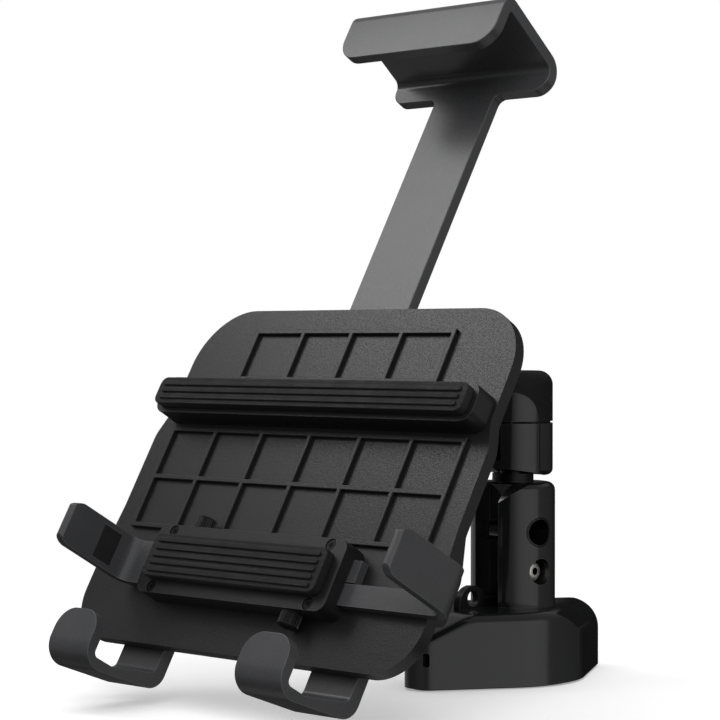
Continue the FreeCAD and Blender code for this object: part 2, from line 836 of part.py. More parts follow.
def head_screw(x):
    start = (x, head_screw_y, head_screw_seat_z - head_screw_head_length)
    return socket_screw(head_screw_head_radius, head_screw_head_length, head_screw_radius,
                        head_screw_length, head_screw_socket, start, (0, 0, 1))


def tilt_pin():
    return rod(tilt_pin_radius, (-tilt_pin_half, 0, head_split), (1, 0, 0), 2 * tilt_pin_half)


def tilt_washer(side):
    """Friction washer between the arm's knuckle and the wall of the head's slot."""
    inner = knuckle_half + moving_gap
    x = inner if side > 0 else -head_slot_half
    body = rod(knuckle_radius - tilt_washer_inset, (x, 0, head_split), (1, 0, 0), head_slot_half - inner)
    return body.cut(rod(tilt_pin_radius, (x - cut_past, 0, head_split), (1, 0, 0), head_slot_half))


def rail_channel():
    """Room for the top arm's rail behind the plate."""
    half = rail_half + moving_gap
    return box(-half, half, plate_front, rail_back + moving_gap, -clip_apex, clip_apex)


def bracket_screw_places():
    ups = (bracket_low + bracket_screw_edge, bracket_high - bracket_screw_edge)
    return [(x, up) for x in (-bracket_screw_x, bracket_screw_x) for up in ups]


def arm_bar():
    """Bar that tapers from the bracket up to the knuckle."""
    depth, up = pivot_in_holder()
    foot = bracket_back - arm_foot_sunk
    run = math.hypot(depth - foot, up - arm_foot_up)
    along_d = (depth - foot) / run
    along_u = (up - arm_foot_up) / run
    side = [(foot + arm_thick_half * along_u, arm_foot_up - arm_thick_half * along_d, 0),
            (depth + arm_thin_half * along_u, up - arm_thin_half * along_d, 0),
            (depth - arm_thin_half * along_u, up + arm_thin_half * along_d, 0),
            (foot - arm_thick_half * along_u, arm_foot_up + arm_thick_half * along_d, 0)]
    bar = block_across(side, -knuckle_half, knuckle_half)
    long_edges = [e for e in bar.Edges if e.BoundBox.XLength < hair and e.Length > run / 2]
    return bar.makeFillet(arm_edge_round, long_edges)


def arm():
    """Tilting arm: knuckle in the head's slot, bar, and the bracket bolted behind the plate."""
    depth, up = pivot_in_holder()
    across = (1, 0, 0)
    knuckle = rod(knuckle_radius, (-knuckle_half, depth, up), across, 2 * knuckle_half)
    body = arm_bar().fuse(knuckle)
    body = body.cut(box(-bracket_half, bracket_half, 0.0, bracket_back - cut_past, 0.0, plate_top))
    flange = rounded_rectangle(-bracket_half, bracket_half, bracket_low, bracket_high, bracket_round)
    body = body.fuse(block_back(flange, plate_back, bracket_back)).removeSplitter()
    body = body.cut(rail_channel())
    pin_hole = rod(tilt_pin_radius + running_gap, (-bracket_half, depth, up), across, 2 * bracket_half)
    body = body.cut(pin_hole)
    for x, z in bracket_screw_places():
        body = body.cut(rod(bracket_screw_radius + loose_gap, (x, plate_front, z), (0, 1, 0), through))
        seat = bracket_back - bracket_screw_head_length - bracket_screw_sunk
        body = body.cut(rod(bracket_screw_head_radius + loose_gap, (x, seat, z), (0, 1, 0), through))
    return lean(body)


def bracket_screw(x, z):
    head_top_at = bracket_back - bracket_screw_sunk
    return lean(screw_into_plate(bracket_screw_head_radius, bracket_screw_head_length, bracket_screw_radius,
                                 (x, head_top_at, z)))


def screw_into_plate(head_radius, head_length, radius, start):
    """Screw from the back that ends in one of the plate's blind holes."""
    tip = plate_front + plate_skin + screw_tip_gap
    return socket_screw(head_radius, head_length, radius, start[1] - head_length - tip,
                        socket_share * radius, start, (0, -1, 0))


def plate_outline():
    waist_low = plate_bottom + plate_waist_rise
    waist_high = waist_low + plate_waist_height
    step_low = rest_low - plate_step_half
    step_high = rest_low + plate_step_half
    return both_sides([(plate_low_half, plate_bottom, plate_low_corner),
                       (plate_low_half, waist_low, plate_waist_round),
                       (plate_mid_half, waist_high, plate_waist_round),
                       (plate_mid_half, step_low, plate_step_round),
                       (plate_high_half, step_high, plate_step_round),
                       (plate_high_half, plate_top, plate_top_corner)])


def plate_screw_places():
    """Across and up of each blind hole in the plate's back, with the screw's radius."""
    places = [(x, z, bracket_screw_radius) for x, z in bracket_screw_places()]
    for side in (-1, 1):
        places += [(side * hook_centre, z, hook_screw_radius) for z in hook_screw_ups]
    return places + [(x, z, housing_screw_radius) for x, z in housing_screw_places()]


def back_plate():
    """Moulded back plate with swollen lower sides."""
    body = block_back(plate_outline(), plate_front, plate_back)
    rear = [e for e in body.Edges if e.BoundBox.YMin > plate_back - snug_gap]
    body = body.makeChamfer(plate_chamfer, rear)
    for side in (-1, 1):
        outer = plate_mid_half - swell_edge
        low, high = sorted((side * (outer - swell_width), side * outer))
        root = plate_back - cut_past
        deep = plate_back + swell_deep
        swell_high = swell_low + swell_height
        profile = [(root, swell_low, 0), (deep, swell_low + swell_low_run, swell_low_round),
                   (deep, swell_high - swell_high_run, swell_high_round), (root, swell_high, 0)]
        body = body.fuse(block_across(profile, low, high))
    body = body.removeSplitter()
    for x, z, radius in plate_screw_places():
        body = body.cut(rod(radius + screw_gap, (x, plate_front + plate_skin, z), (0, 1, 0), plate_thick))
    for x, z in guide_screw_places():
        hole = rod(guide_screw_radius + screw_gap, (x, plate_front - cut_past, z), (0, 1, 0),
                   cut_past + guide_screw_grip + screw_tip_gap)
        body = body.cut(hole)
    seat = plate_back - rest_screw_head_length
    back = (0, 1, 0)
    for x in (-rest_screw_x, rest_screw_x):
        body = body.cut(rod(rest_screw_radius + loose_gap, (x, 0.0, rest_screw_up), back, through))
        body = body.cut(rod(rest_screw_head_radius + loose_gap, (x, seat, rest_screw_up), back, through))
    return lean(body)


def hook(side):
    """Bent hook that carries the tablet's lower edge."""
    profile = [(hook_front, hook_tip, 0), (hook_front, hook_heel_up, hook_front_round),
               (hook_back, hook_rear_up, hook_rear_round), (hook_back, hook_leg_top, 0),
               (plate_back, hook_leg_top, 0), (plate_back, hook_inner_rear_up, hook_inner_rear_round),
               (hook_floor_end, hook_floor, 0), (hook_inner, hook_floor, hook_inner_round),
               (hook_inner, hook_tip, 0)]
    body = block_across(profile, -hook_half, hook_half)
    low = 4 * hook_heel_up
    tongue = [(-hook_half, low, 0), (hook_half, low, 0), (hook_half, hook_tip, hook_corner),
              (-hook_half, hook_tip, hook_corner)]
    leg = [(-hook_half, low, 0), (hook_half, low, 0), (hook_half, hook_leg_top, hook_corner),
           (-hook_half, hook_leg_top, hook_corner)]
    middle = (hook_inner + plate_back) / 2
    front_and_back = block_back(tongue, 2 * hook_front, middle).fuse(block_back(leg, middle, 2 * hook_back))
    body = body.common(front_and_back)
    for z in hook_screw_ups:
        body = body.cut(rod(hook_screw_radius + loose_gap, (0.0, plate_front, z), (0, 1, 0), through))
        seat = hook_back - hook_screw_head_length - head_sunk
        body = body.cut(rod(hook_screw_head_radius + loose_gap, (0.0, seat, z), (0, 1, 0), through))
    body.translate(vec(side * hook_centre, 0, 0))
    return lean(body)


def hook_screw(side, z):
    start = (side * hook_centre, hook_back - head_sunk, z)
    return lean(screw_into_plate(hook_screw_head_radius, hook_screw_head_length, hook_screw_radius, start))


def hook_pad(side):
    """Thin rubber pad inside the hook's tongue."""
    low = hook_floor + hook_pad_rise
    high = hook_tip - hook_pad_margin
    pad = [(-hook_pad_half, low, pad_root_round), (hook_pad_half, low, pad_root_round),
           (hook_pad_half, high, pad_tip_round), (-hook_pad_half, high, pad_tip_round)]
    body = block_back(pad, hook_inner, hook_inner + hook_pad_thick)
    body.translate(vec(side * hook_centre, 0, 0))
    return lean(body)


def guide_screw_places():
    ups = (guide_low + guide_screw_edge, guide_high - guide_screw_edge)
    return [(x, up) for x in (-guide_screw_x, guide_screw_x) for up in ups]


def arm_guide():
    """Housing in front of the plate in which both side arms slide."""
    outline = rounded_rectangle(-guide_half, guide_half, guide_low, guide_high, guide_round)
    body = block_back(outline, guide_front, plate_front)
    body = body.cut(box(-2 * guide_half, 2 * guide_half, strip_front - moving_gap, plate_front + cut_past,
                        strip_low - moving_gap, strip_high + moving_gap))
    for x, z in guide_screw_places():
        body = body.cut(rod(guide_screw_radius + loose_gap, (x, 0.0, z), (0, 1, 0), through))
        seat = cut_past + guide_screw_head_length + guide_screw_sunk
        place = (x, guide_front - cut_past, z)
        body = body.cut(rod(guide_screw_head_radius + snug_gap, place, (0, 1, 0), seat))
    hole_radius = clamp_screw_radius + screw_gap
    hole_length = cut_past + guide_rim
    low_place = (clamp_screw_x, clamp_screw_depth, guide_low - cut_past)
    high_place = (-clamp_screw_x, clamp_screw_depth, guide_high + cut_past)
    body = body.cut(rod(hole_radius, low_place, (0, 0, 1), hole_length))
    return lean(body.cut(rod(hole_radius, high_place, (0, 0, -1), hole_length)))


def guide_screw(x, z):
    start = (x, guide_front + guide_screw_sunk, z)
    return lean(socket_screw(guide_screw_head_radius, guide_screw_head_length, guide_screw_radius,
                             guide_screw_length, small_socket_share * guide_screw_radius, start, (0, 1, 0)))


def clamp_screw(side):
    """Security screw that pinches one side arm's tail inside the guide."""
    shank = guide_rim - moving_gap
    if side > 0:
        start = (clamp_screw_x, clamp_screw_depth, guide_low - clamp_screw_head_length)
        axis = (0, 0, 1)
    else:
        start = (-clamp_screw_x, clamp_screw_depth, guide_high + clamp_screw_head_length)
        axis = (0, 0, -1)
    return lean(socket_screw(clamp_screw_head_radius, clamp_screw_head_length, clamp_screw_radius,
                             shank, socket_share * clamp_screw_radius, start, axis))


def lower_cushion():
    """Rubber pad on the guide for the tablet's back."""
    low = guide_low + lower_cushion_inset
    high = guide_high - lower_cushion_inset
    pad = rounded_rectangle(-lower_cushion_half, lower_cushion_half, low, high, cushion_round)
    return lean(block_back(pad, cushion_front, guide_front))


def upper_rest():
    """Cross bar in front of the plate for the tablet's back."""
    bar = rounded_rectangle(-rest_half, rest_half, rest_low, rest_high, rest_round)
    body = block_back(bar, guide_front, plate_front)
    start = plate_back - rest_screw_head_length - rest_screw_length - screw_tip_gap
    for x in (-rest_screw_x, rest_screw_x):
        body = body.cut(rod(rest_screw_radius + screw_gap, (x, start, rest_screw_up), (0, 1, 0), through))
    return lean(body)


def upper_cushion():
    """Rubber pad on the upper rest."""
    half = rest_half - rest_cushion_inset
    pad = rounded_rectangle(-half, half, rest_low + rest_cushion_inset, rest_high - rest_cushion_inset,
                            cushion_round)
    return lean(block_back(pad, cushion_front, guide_front))


def rest_screw(x):
    start = (x, plate_back - head_sunk, rest_screw_up)
    return lean(socket_screw(rest_screw_head_radius, rest_screw_head_length - head_sunk, rest_screw_radius,
                             rest_screw_length, socket_share * rest_screw_radius, start, (0, -1, 0)))


def housing_screw_places():
    ups = (housing_low + housing_screw_edge, housing_high - housing_screw_edge)
    return [(x, up) for x in (housing_screw_left_x, housing_screw_right_x) for up in ups]


def lock_housing():
    """Cover behind the plate that guides the rail's foot and holds the lock."""
    outline = rounded_rectangle(housing_left, housing_right, housing_low, housing_high, housing_round)
    body = block_back(outline, plate_back, housing_back)
    rear = [e for e in body.Edges if e.BoundBox.YMin > housing_back - snug_gap]
    body = body.makeFillet(housing_edge_round, rear)
    body = body.cut(rail_channel())
    place = (lock_across, plate_front, lock_up)
    body = body.cut(rod(barrel_radius + running_gap, place, (0, 1, 0), through))
    cam_room = housing_back - barrel_inside + barrel_stand_out - plate_front + moving_gap
    body = body.cut(rod(cam_reach + cam_room_gap, place, (0, 1, 0), cam_room))
    for x, z in housing_screw_places():
        body = body.cut(rod(housing_screw_radius + loose_gap, (x, plate_front, z), (0, 1, 0), through))
        seat = housing_back - housing_screw_head_length - head_sunk
        body = body.cut(rod(housing_screw_head_radius + loose_gap, (x, seat, z), (0, 1, 0), through))
    return lean(body)


def housing_screw(x, z):
    return lean(screw_into_plate(housing_screw_head_radius, housing_screw_head_length, housing_screw_radius,
                                 (x, housing_back - head_sunk, z)))


def lock_barrel():
    """Key barrel whose face stands just out of the housing."""
    front = housing_back - barrel_inside + barrel_stand_out
    body = rod(barrel_radius, (lock_across, front, lock_up), (0, 1, 0), barrel_inside)
    key = box(lock_across - key_way_half, lock_across + key_way_half,
              front + barrel_inside - key_way_deep, front + 2 * barrel_inside,
              lock_up - key_way_length / 2, lock_up + key_way_length / 2)
    return lean(body.cut(key))


def lock_cam():
    """Cam on the barrel's inner end that swings to the rail's notched edge."""
    back = housing_back - barrel_inside + barrel_stand_out
    front = back - cam_thick
    body = rod(cam_radius, (lock_across, front, lock_up), (0, 1, 0), cam_thick)
    lobe = [(lock_across - cam_lobe_half, lock_up, 0), (lock_across + cam_lobe_half, lock_up, 0),
            (lock_across + cam_lobe_half, lock_up + cam_reach, cam_tip_round),
            (lock_across - cam_lobe_half, lock_up + cam_reach, cam_tip_round)]
    body = body.fuse(block_back(lobe, front, back)).removeSplitter()
    round_tip = rod(cam_reach, (lock_across, front, lock_up), (0, 1, 0), cam_thick)
    return lean(body.common(round_tip))


def notch(i):
    up = notch_first_up + notch_pitch * i
    mouth = rail_half + cut_past
    tooth = [(rail_half - notch_deep, up, 0), (mouth, up - notch_half, 0), (mouth, up + notch_half, 0)]
    return block_back(tooth, plate_back, 2 * plate_back)


def top_arm():
    """One bent strip: narrow notched rail below, wide clip over the tablet's top edge."""
    profile = [(clip_front, clip_tip, 0), (clip_front, clip_apex, clip_front_round),
               (rail_back, clip_rear_up, clip_rear_round), (rail_back, rail_low, 0),
               (rail_front, rail_low, 0), (rail_front, clip_inner_rear_up, clip_inner_rear_round),
               (clip_inner, clip_inner_up, clip_inner_round), (clip_inner, clip_tip, 0)]
    body = block_across(profile, -clip_half, clip_half)
    high = 1.2 * clip_apex
    face = [(-clip_half, clip_tip, clip_corner), (clip_half, clip_tip, clip_corner),
            (clip_half, high, 0), (-clip_half, high, 0)]
    rear = both_sides([(rail_half, rail_low, rail_round), (rail_half, clip_neck_up, rail_round),
                       (clip_half, clip_neck_up, clip_shoulder_round), (clip_half, high, 0)])
    middle = (clip_inner + rail_front) / 2
    front_and_back = block_back(face, 2 * clip_front, middle).fuse(block_back(rear, middle, 2 * rail_back))
    body = body.common(front_and_back)
    for i in range(notch_count):
        body = body.cut(notch(i))
    return lean(body)


def top_pad():
    """Thin rubber pad inside the clip's front leg."""
    low = clip_tip + top_pad_margin
    high = clip_inner_rear_up + top_pad_root_gap
    pad = [(-top_pad_half, low, pad_tip_round), (top_pad_half, low, pad_tip_round),
           (top_pad_half, high, pad_root_round), (-top_pad_half, high, pad_root_round)]
    return lean(block_back(pad, clip_inner, clip_inner + top_pad_thick))


def side_arm(inner, low, high):
    """Side arm built for the right: a tail that slides in the guide, bent forward into a panel."""
    outer = inner + panel_thick
    tail_end = inner - tail_length
    profile = [(tail_end, strip_front, 0), (inner, strip_front, panel_inner_bend),
               (inner, panel_reach, panel_edge_round), (outer, panel_reach, panel_edge_round),
               (outer, strip_back, panel_bend), (tail_end, strip_back, 0)]
    face = rounded_face(profile, lambda x, y: vec(x, y, strip_low))
    body = face.extrude(vec(0, 0, strip_high - strip_low))
    tip = panel_reach - panel_corner_past
    side = [(tip, strip_low, panel_corner), (2 * strip_back, strip_low, 0),
            (2 * strip_back, strip_high, 0), (tip, strip_high, panel_corner)]
    body = body.common(block_across(side, tail_end - cut_past, outer + cut_past))
    shoulder = inner - tail_shoulder
    for cut_low, cut_high in ((strip_low - cut_past, low), (high, strip_high + cut_past)):
        body = body.cut(box(tail_end - cut_past, shoulder, strip_front - cut_past, strip_back + cut_past,
                            cut_low, cut_high))
    return body.cut(pad_block(inner, inner - cut_past))


def pad_block(inner, start):
    return box(start, inner + side_pad_sunk, side_pad_front, side_pad_back,
               strip_low + side_pad_margin, strip_high - side_pad_margin)


def side_pad(inner):
    return pad_block(inner, inner + side_pad_sunk - side_pad_thick)


def right_inner():
    return tablet_right + side_gap


def left_inner():
    return side_gap - tablet_left


def right_arm():
    return lean(side_arm(right_inner(), strip_low, strip_split - strip_split_gap / 2))


def left_arm():
    return lean(mirror_across(side_arm(left_inner(), strip_split + strip_split_gap / 2, strip_high)))


def all_parts():
    return {
        "base_shell": base_shell(),
        "base_ballast": base_ballast(),
        "foot_pad": foot_pad(),
        "lock_plate": lock_plate(),
        "post_bolts": group([post_bolt(x) for x in (-post_bolt_x, post_bolt_x)]),
        "post": post(),
        "cable_bush": cable_bush(),
        "cable_eye": cable_eye(),
        "lock_screw": lock_screw(),
        "neck": neck(),
        "neck_pin": neck_pin(),
        "stop_pin": stop_pin(),
        "swivel_washer": swivel_washer(),
        "swivel_nut": swivel_nut(),
        "head_lower": head_lower(),
        "head_upper": head_upper(),
        "head_shim": head_shim(),
        "head_screws": group([head_screw(x) for x in (-head_screw_x, head_screw_x)]),
        "tilt_pin": tilt_pin(),
        "tilt_washer_left": tilt_washer(-1),
        "tilt_washer_right": tilt_washer(1),
        "arm": arm(),
        "bracket_screws": group([bracket_screw(x, z) for x, z in bracket_screw_places()]),
        "back_plate": back_plate(),
        "hook_left": hook(-1),
        "hook_right": hook(1),
        "hook_screws": group([hook_screw(side, z) for side in (-1, 1) for z in hook_screw_ups]),
        "hook_pad_left": hook_pad(-1),
        "hook_pad_right": hook_pad(1),
        "arm_guide": arm_guide(),
        "guide_screws": group([guide_screw(x, z) for x, z in guide_screw_places()]),
        "clamp_screw_left": clamp_screw(-1),
        "clamp_screw_right": clamp_screw(1),
        "lower_cushion": lower_cushion(),
        "upper_rest": upper_rest(),
        "upper_cushion": upper_cushion(),
        "rest_screws": group([rest_screw(x) for x in (-rest_screw_x, rest_screw_x)]),
        "lock_housing": lock_housing(),
        "housing_screws": group([housing_screw(x, z) for x, z in housing_screw_places()]),
        "lock_barrel": lock_barrel(),
        "lock_cam": lock_cam(),
        "top_arm": top_arm(),
        "top_pad": top_pad(),
        "left_arm": left_arm(),
        "left_pad": lean(mirror_across(side_pad(left_inner()))),
        "right_arm": right_arm(),
        "right_pad": lean(side_pad(right_inner())),
    }


for name, shape in all_parts().items():
    shape.exportStep("parts/" + name + ".step")
    print(name, "solids", len(shape.Solids), "valid", shape.isValid(), "volume", round(shape.Volume))
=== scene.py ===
import json
import math
import bmesh
import bpy
from mathutils import Matrix, Vector


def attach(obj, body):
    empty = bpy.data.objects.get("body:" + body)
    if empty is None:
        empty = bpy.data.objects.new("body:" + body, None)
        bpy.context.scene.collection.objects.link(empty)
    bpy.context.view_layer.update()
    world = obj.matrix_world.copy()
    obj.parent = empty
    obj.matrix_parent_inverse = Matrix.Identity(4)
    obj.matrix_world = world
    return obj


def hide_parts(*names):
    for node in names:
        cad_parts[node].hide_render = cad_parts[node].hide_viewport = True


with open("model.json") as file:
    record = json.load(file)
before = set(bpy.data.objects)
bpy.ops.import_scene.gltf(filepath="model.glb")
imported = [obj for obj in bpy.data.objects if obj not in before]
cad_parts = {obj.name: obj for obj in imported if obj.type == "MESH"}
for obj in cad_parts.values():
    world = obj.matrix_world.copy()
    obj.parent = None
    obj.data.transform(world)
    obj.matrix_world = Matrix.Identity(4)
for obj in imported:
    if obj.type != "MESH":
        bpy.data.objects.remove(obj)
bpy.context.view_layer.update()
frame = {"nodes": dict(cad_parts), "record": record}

mm = 0.001
print("frame loaded:", len(frame["nodes"]), "nodes")

# the holder's own axes run across, from front to back and up its plate, and lean back with the plate
holderLean = math.radians(30)
holderFoot = Vector((0, -174.4, 21.4)) * mm
holderFrame = Matrix.Translation(holderFoot) @ Matrix.Rotation(-holderLean, 4, "X")
standFrame = Matrix.Identity(4)

sharpDegrees = 28  # a fold at least this steep is an edge; less than that is a curve
noiseLow, noiseHigh = 0.3, 0.7  # most values of a noise texture lie between these
coarseBump, fineBump, hairBump = 0.1 * mm, 0.05 * mm, 0.03 * mm  # heights that a full bump stands for
waveTurn = 6.2832  # a wave texture repeats once in this many units


# material tools

def hexToLinear(text):
    # sRGB hex to the linear colour that the shaders want
    parts = [int(text[i:i + 2], 16) / 255 for i in (1, 3, 5)]
    return tuple(p / 12.92 if p <= 0.04045 else ((p + 0.055) / 1.055) ** 2.4 for p in parts) + (1.0,)


def addNode(tree, kind, settings=None, links=None):
    # settings: socket name or number, or a property; links: the same, to the output it comes from
    node = tree.nodes.new(kind)
    for key, value in (settings or {}).items():
        if isinstance(key, str) and key not in node.inputs:
            setattr(node, key, value)
        else:
            node.inputs[key].default_value = value
    for key, source in (links or {}).items():
        tree.links.new(source, node.inputs[key])
    return node


def startMaterial(name):
    material = bpy.data.materials.new(name)
    material.use_nodes = True
    tree = material.node_tree
    tree.nodes.clear()
    place = addNode(tree, "ShaderNodeTexCoord").outputs["Object"]
    return material, tree, place


def endMaterial(material, tree, shader):
    addNode(tree, "ShaderNodeOutputMaterial", links={"Surface": shader.outputs[0]})
    return material


def perMetre(sizeMm):
    # texture scale for a pattern that repeats about every sizeMm, on Object coordinates in metres
    return 1.0 / (sizeMm * mm)


def edgeWearAndHighlightMask(tree, edgeMm, amount):
    # 0 on open faces, up to amount along edges: lighter edges that are partly wear, where paint is thin and
    # hands and tools rub, and partly a painted highlight, as if a rounded edge caught the light; the cosine
    # between the true and the rounded normal is 1 on a face and falls at an edge
    rounded = addNode(tree, "ShaderNodeBevel", {"samples": 4, "Radius": edgeMm * mm})
    face = addNode(tree, "ShaderNodeNewGeometry")
    agree = addNode(tree, "ShaderNodeVectorMath", {"operation": "DOT_PRODUCT"},
                    {0: rounded.outputs["Normal"], 1: face.outputs["Normal"]})
    wornAndLit = addNode(tree, "ShaderNodeMapRange", {"From Min": 1.0, "From Max": 0.9, "To Min": 0.0,
                                                "To Max": amount}, {"Value": agree.outputs["Value"]})
    return wornAndLit.outputs["Result"]


# finishes

def paintedFinish(name, look):
    # sprayed paint: an even colour with faint clouds, the slow waves of orange peel, fine dust in the gloss
    material, tree, place = startMaterial(name)
    cloud = addNode(tree, "ShaderNodeTexNoise", {"Scale": perMetre(look["cloudMm"]), "Detail": 3.0},
                    {"Vector": place})
    peel = addNode(tree, "ShaderNodeTexVoronoi", {"Scale": perMetre(look["peelMm"]), "feature": "SMOOTH_F1",
                                                  "Smoothness": 1.0}, {"Vector": place})
    dust = addNode(tree, "ShaderNodeTexNoise", {"Scale": perMetre(look["dustMm"]), "Detail": 3.0,
                                                "Roughness": 0.6}, {"Vector": place})
    tint = addNode(tree, "ShaderNodeMix", {"data_type": "RGBA", "A": hexToLinear(look["dark"]),
                                           "B": hexToLinear(look["light"])}, {"Factor": cloud.outputs["Fac"]})
    # lighter along the edges: partly wear, partly a painted highlight
    edged = addNode(tree, "ShaderNodeMix", {"data_type": "RGBA", "B": hexToLinear(look["edge"])},
                    {"Factor": edgeWearAndHighlightMask(tree, look["edgeMm"], look["edgeWearAndHighlight"]), "A": tint.outputs["Result"]})
    gloss = addNode(tree, "ShaderNodeMapRange",
                    {"From Min": noiseLow, "From Max": noiseHigh, "To Min": look["smooth"],
                     "To Max": look["dull"]}, {"Value": dust.outputs["Fac"]})
    rough, shine = gloss.outputs["Result"], None
    if "archCentre" in look:
        # the cast skin above and behind the head's arch is darkened as painted shade, by a lower specular
        # level and a higher roughness; the arch itself keeps the full gloss
        flat = addNode(tree, "ShaderNodeVectorMath", {"operation": "MULTIPLY", 1: (0, 1, 1)}, {0: place})
        beside = addNode(tree, "ShaderNodeVectorMath",
                         {"operation": "SUBTRACT", 1: [part * mm for part in look["archCentre"]]},
                         {0: flat.outputs["Vector"]})
        beyond = addNode(tree, "ShaderNodeVectorMath", {"operation": "MAXIMUM", 1: (0, 0, 0)},
                         {0: beside.outputs["Vector"]})
        reach = addNode(tree, "ShaderNodeVectorMath", {"operation": "LENGTH"},
                        {0: beyond.outputs["Vector"]})
        outside = addNode(tree, "ShaderNodeMath",
                          {"operation": "GREATER_THAN", 1: look["archRadius"] * mm},
                          {0: reach.outputs["Value"]})
        heights = addNode(tree, "ShaderNodeSeparateXYZ", links={0: place})
        upper = addNode(tree, "ShaderNodeMath", {"operation": "GREATER_THAN", 1: look["split"] * mm},
                        {0: heights.outputs["Z"]})
        skin = addNode(tree, "ShaderNodeMath", {"operation": "MULTIPLY"},
                       {0: outside.outputs[0], 1: upper.outputs[0]})
        rough = addNode(tree, "ShaderNodeMix", {"data_type": "FLOAT", "B": look["dullSkin"]},
                        {"Factor": skin.outputs[0], "A": rough}).outputs["Result"]
        shine = addNode(tree, "ShaderNodeMapRange", {"To Min": look["gleam"], "To Max": look["paintedShadeGleam"]},
                        {"Value": skin.outputs[0]}).outputs["Result"]
    waves = addNode(tree, "ShaderNodeBump", {"Strength": look["peelDepth"], "Distance": coarseBump},
                    {"Height": peel.outputs["Distance"]})
    nibs = addNode(tree, "ShaderNodeBump", {"Strength": look["dustDepth"], "Distance": fineBump},
                   {"Height": dust.outputs["Fac"], "Normal": waves.outputs["Normal"]})
    shader = addNode(tree, "ShaderNodeBsdfPrincipled", {"IOR": look["ior"]},
                     {"Base Color": edged.outputs["Result"], "Roughness": rough,
                      "Normal": nibs.outputs["Normal"]})
    if shine:
        tree.links.new(shine, shader.inputs["Specular IOR Level"])
    return endMaterial(material, tree, shader)


def mouldedFinish(name, look):
    # moulded plastic: the tool's spark grain all over, flow clouds from the gate, dull valleys between
    # glossier tops
    material, tree, place = startMaterial(name)
    flow = addNode(tree, "ShaderNodeMapping", {"Scale": (1.0, 1.0, 0.35)}, {"Vector": place})
    cloud = addNode(tree, "ShaderNodeTexNoise", {"Scale": perMetre(look["flowMm"]), "Detail": 3.0,
                                                 "Distortion": 0.6}, {"Vector": flow.outputs["Vector"]})
    # the grain is twice as coarse as the real 0.3 mm one, so that it shows in the render
    grain = addNode(tree, "ShaderNodeTexVoronoi", {"Scale": perMetre(look["grainMm"]), "feature": "SMOOTH_F1",
                                                   "Smoothness": 0.6}, {"Vector": place})
    tooth = addNode(tree, "ShaderNodeTexNoise", {"Scale": perMetre(look["toothMm"]), "Detail": 2.0},
                    {"Vector": place})
    tint = addNode(tree, "ShaderNodeMix", {"data_type": "RGBA", "A": hexToLinear(look["dark"]),
                                           "B": hexToLinear(look["light"])}, {"Factor": cloud.outputs["Fac"]})
    # lighter along the edges: partly wear, partly a painted highlight
    edged = addNode(tree, "ShaderNodeMix", {"data_type": "RGBA", "B": hexToLinear(look["edge"])},
                    {"Factor": edgeWearAndHighlightMask(tree, look["edgeMm"], look["edgeWearAndHighlight"]), "A": tint.outputs["Result"]})
    gloss = addNode(tree, "ShaderNodeMapRange",
                    {"From Min": 0.1, "From Max": 0.6, "To Min": look["dull"], "To Max": look["smooth"]},
                    {"Value": grain.outputs["Distance"]})
    pits = addNode(tree, "ShaderNodeBump", {"Strength": look["grainDepth"], "Distance": coarseBump},
                   {"Height": grain.outputs["Distance"]})
    fine = addNode(tree, "ShaderNodeBump", {"Strength": look["toothDepth"], "Distance": fineBump},
                   {"Height": tooth.outputs["Fac"], "Normal": pits.outputs["Normal"]})
    shader = addNode(tree, "ShaderNodeBsdfPrincipled",
                     {"IOR": look["ior"], "Subsurface Weight": look["milky"],
                      "Subsurface Radius": (0.8 * mm, 0.7 * mm, 0.6 * mm)},
                     {"Base Color": edged.outputs["Result"], "Roughness": gloss.outputs["Result"],
                      "Normal": fine.outputs["Normal"]})
    return endMaterial(material, tree, shader)


def rubberFinish(name, look):
    # rubber: matt black, chalky bloom in patches, fine ribs from the sheet's roller, dust caught in them
    material, tree, place = startMaterial(name)
    bloom = addNode(tree, "ShaderNodeTexNoise", {"Scale": perMetre(look["bloomMm"]), "Detail": 4.0,
                                                 "Roughness": 0.7}, {"Vector": place})
    speck = addNode(tree, "ShaderNodeTexVoronoi", {"Scale": perMetre(look["speckMm"])}, {"Vector": place})
    turned = addNode(tree, "ShaderNodeMapping", {"Rotation": (look["ribTurn"], 0, 0)}, {"Vector": place})
    # the roller's ribs are 0.8 mm apart on the real sheet, and drawn a little coarser here
    ribs = addNode(tree, "ShaderNodeTexWave",
                   {"wave_type": "BANDS", "bands_direction": look["ribAlong"],
                    "Scale": perMetre(look["ribMm"]) / waveTurn, "Distortion": 0.4, "Detail": 1.0},
                   {"Vector": turned.outputs["Vector"]})
    tint = addNode(tree, "ShaderNodeMix", {"data_type": "RGBA", "A": hexToLinear(look["dark"]),
                                           "B": hexToLinear(look["light"])}, {"Factor": bloom.outputs["Fac"]})
    dusty = addNode(tree, "ShaderNodeMapRange",
                    {"From Min": 0.0, "From Max": 0.16, "To Min": look["speckle"], "To Max": 0.0},
                    {"Value": speck.outputs["Distance"]})
    dusted = addNode(tree, "ShaderNodeMix", {"data_type": "RGBA", "B": hexToLinear(look["dust"])},
                     {"Factor": dusty.outputs["Result"], "A": tint.outputs["Result"]})
    gloss = addNode(tree, "ShaderNodeMapRange",
                    {"From Min": noiseLow, "From Max": noiseHigh, "To Min": look["smooth"],
                     "To Max": look["dull"]}, {"Value": bloom.outputs["Fac"]})
    rows = addNode(tree, "ShaderNodeBump", {"Strength": look["ribDepth"], "Distance": 0.15 * mm},
                   {"Height": ribs.outputs["Fac"]})
    skin = addNode(tree, "ShaderNodeBump", {"Strength": look["speckDepth"], "Distance": fineBump},
                   {"Height": speck.outputs["Distance"], "Normal": rows.outputs["Normal"]})
    shader = addNode(tree, "ShaderNodeBsdfPrincipled", {"IOR": look["ior"]},
                     {"Base Color": dusted.outputs["Result"], "Roughness": gloss.outputs["Result"],
                      "Normal": skin.outputs["Normal"]})
    return endMaterial(material, tree, shader)


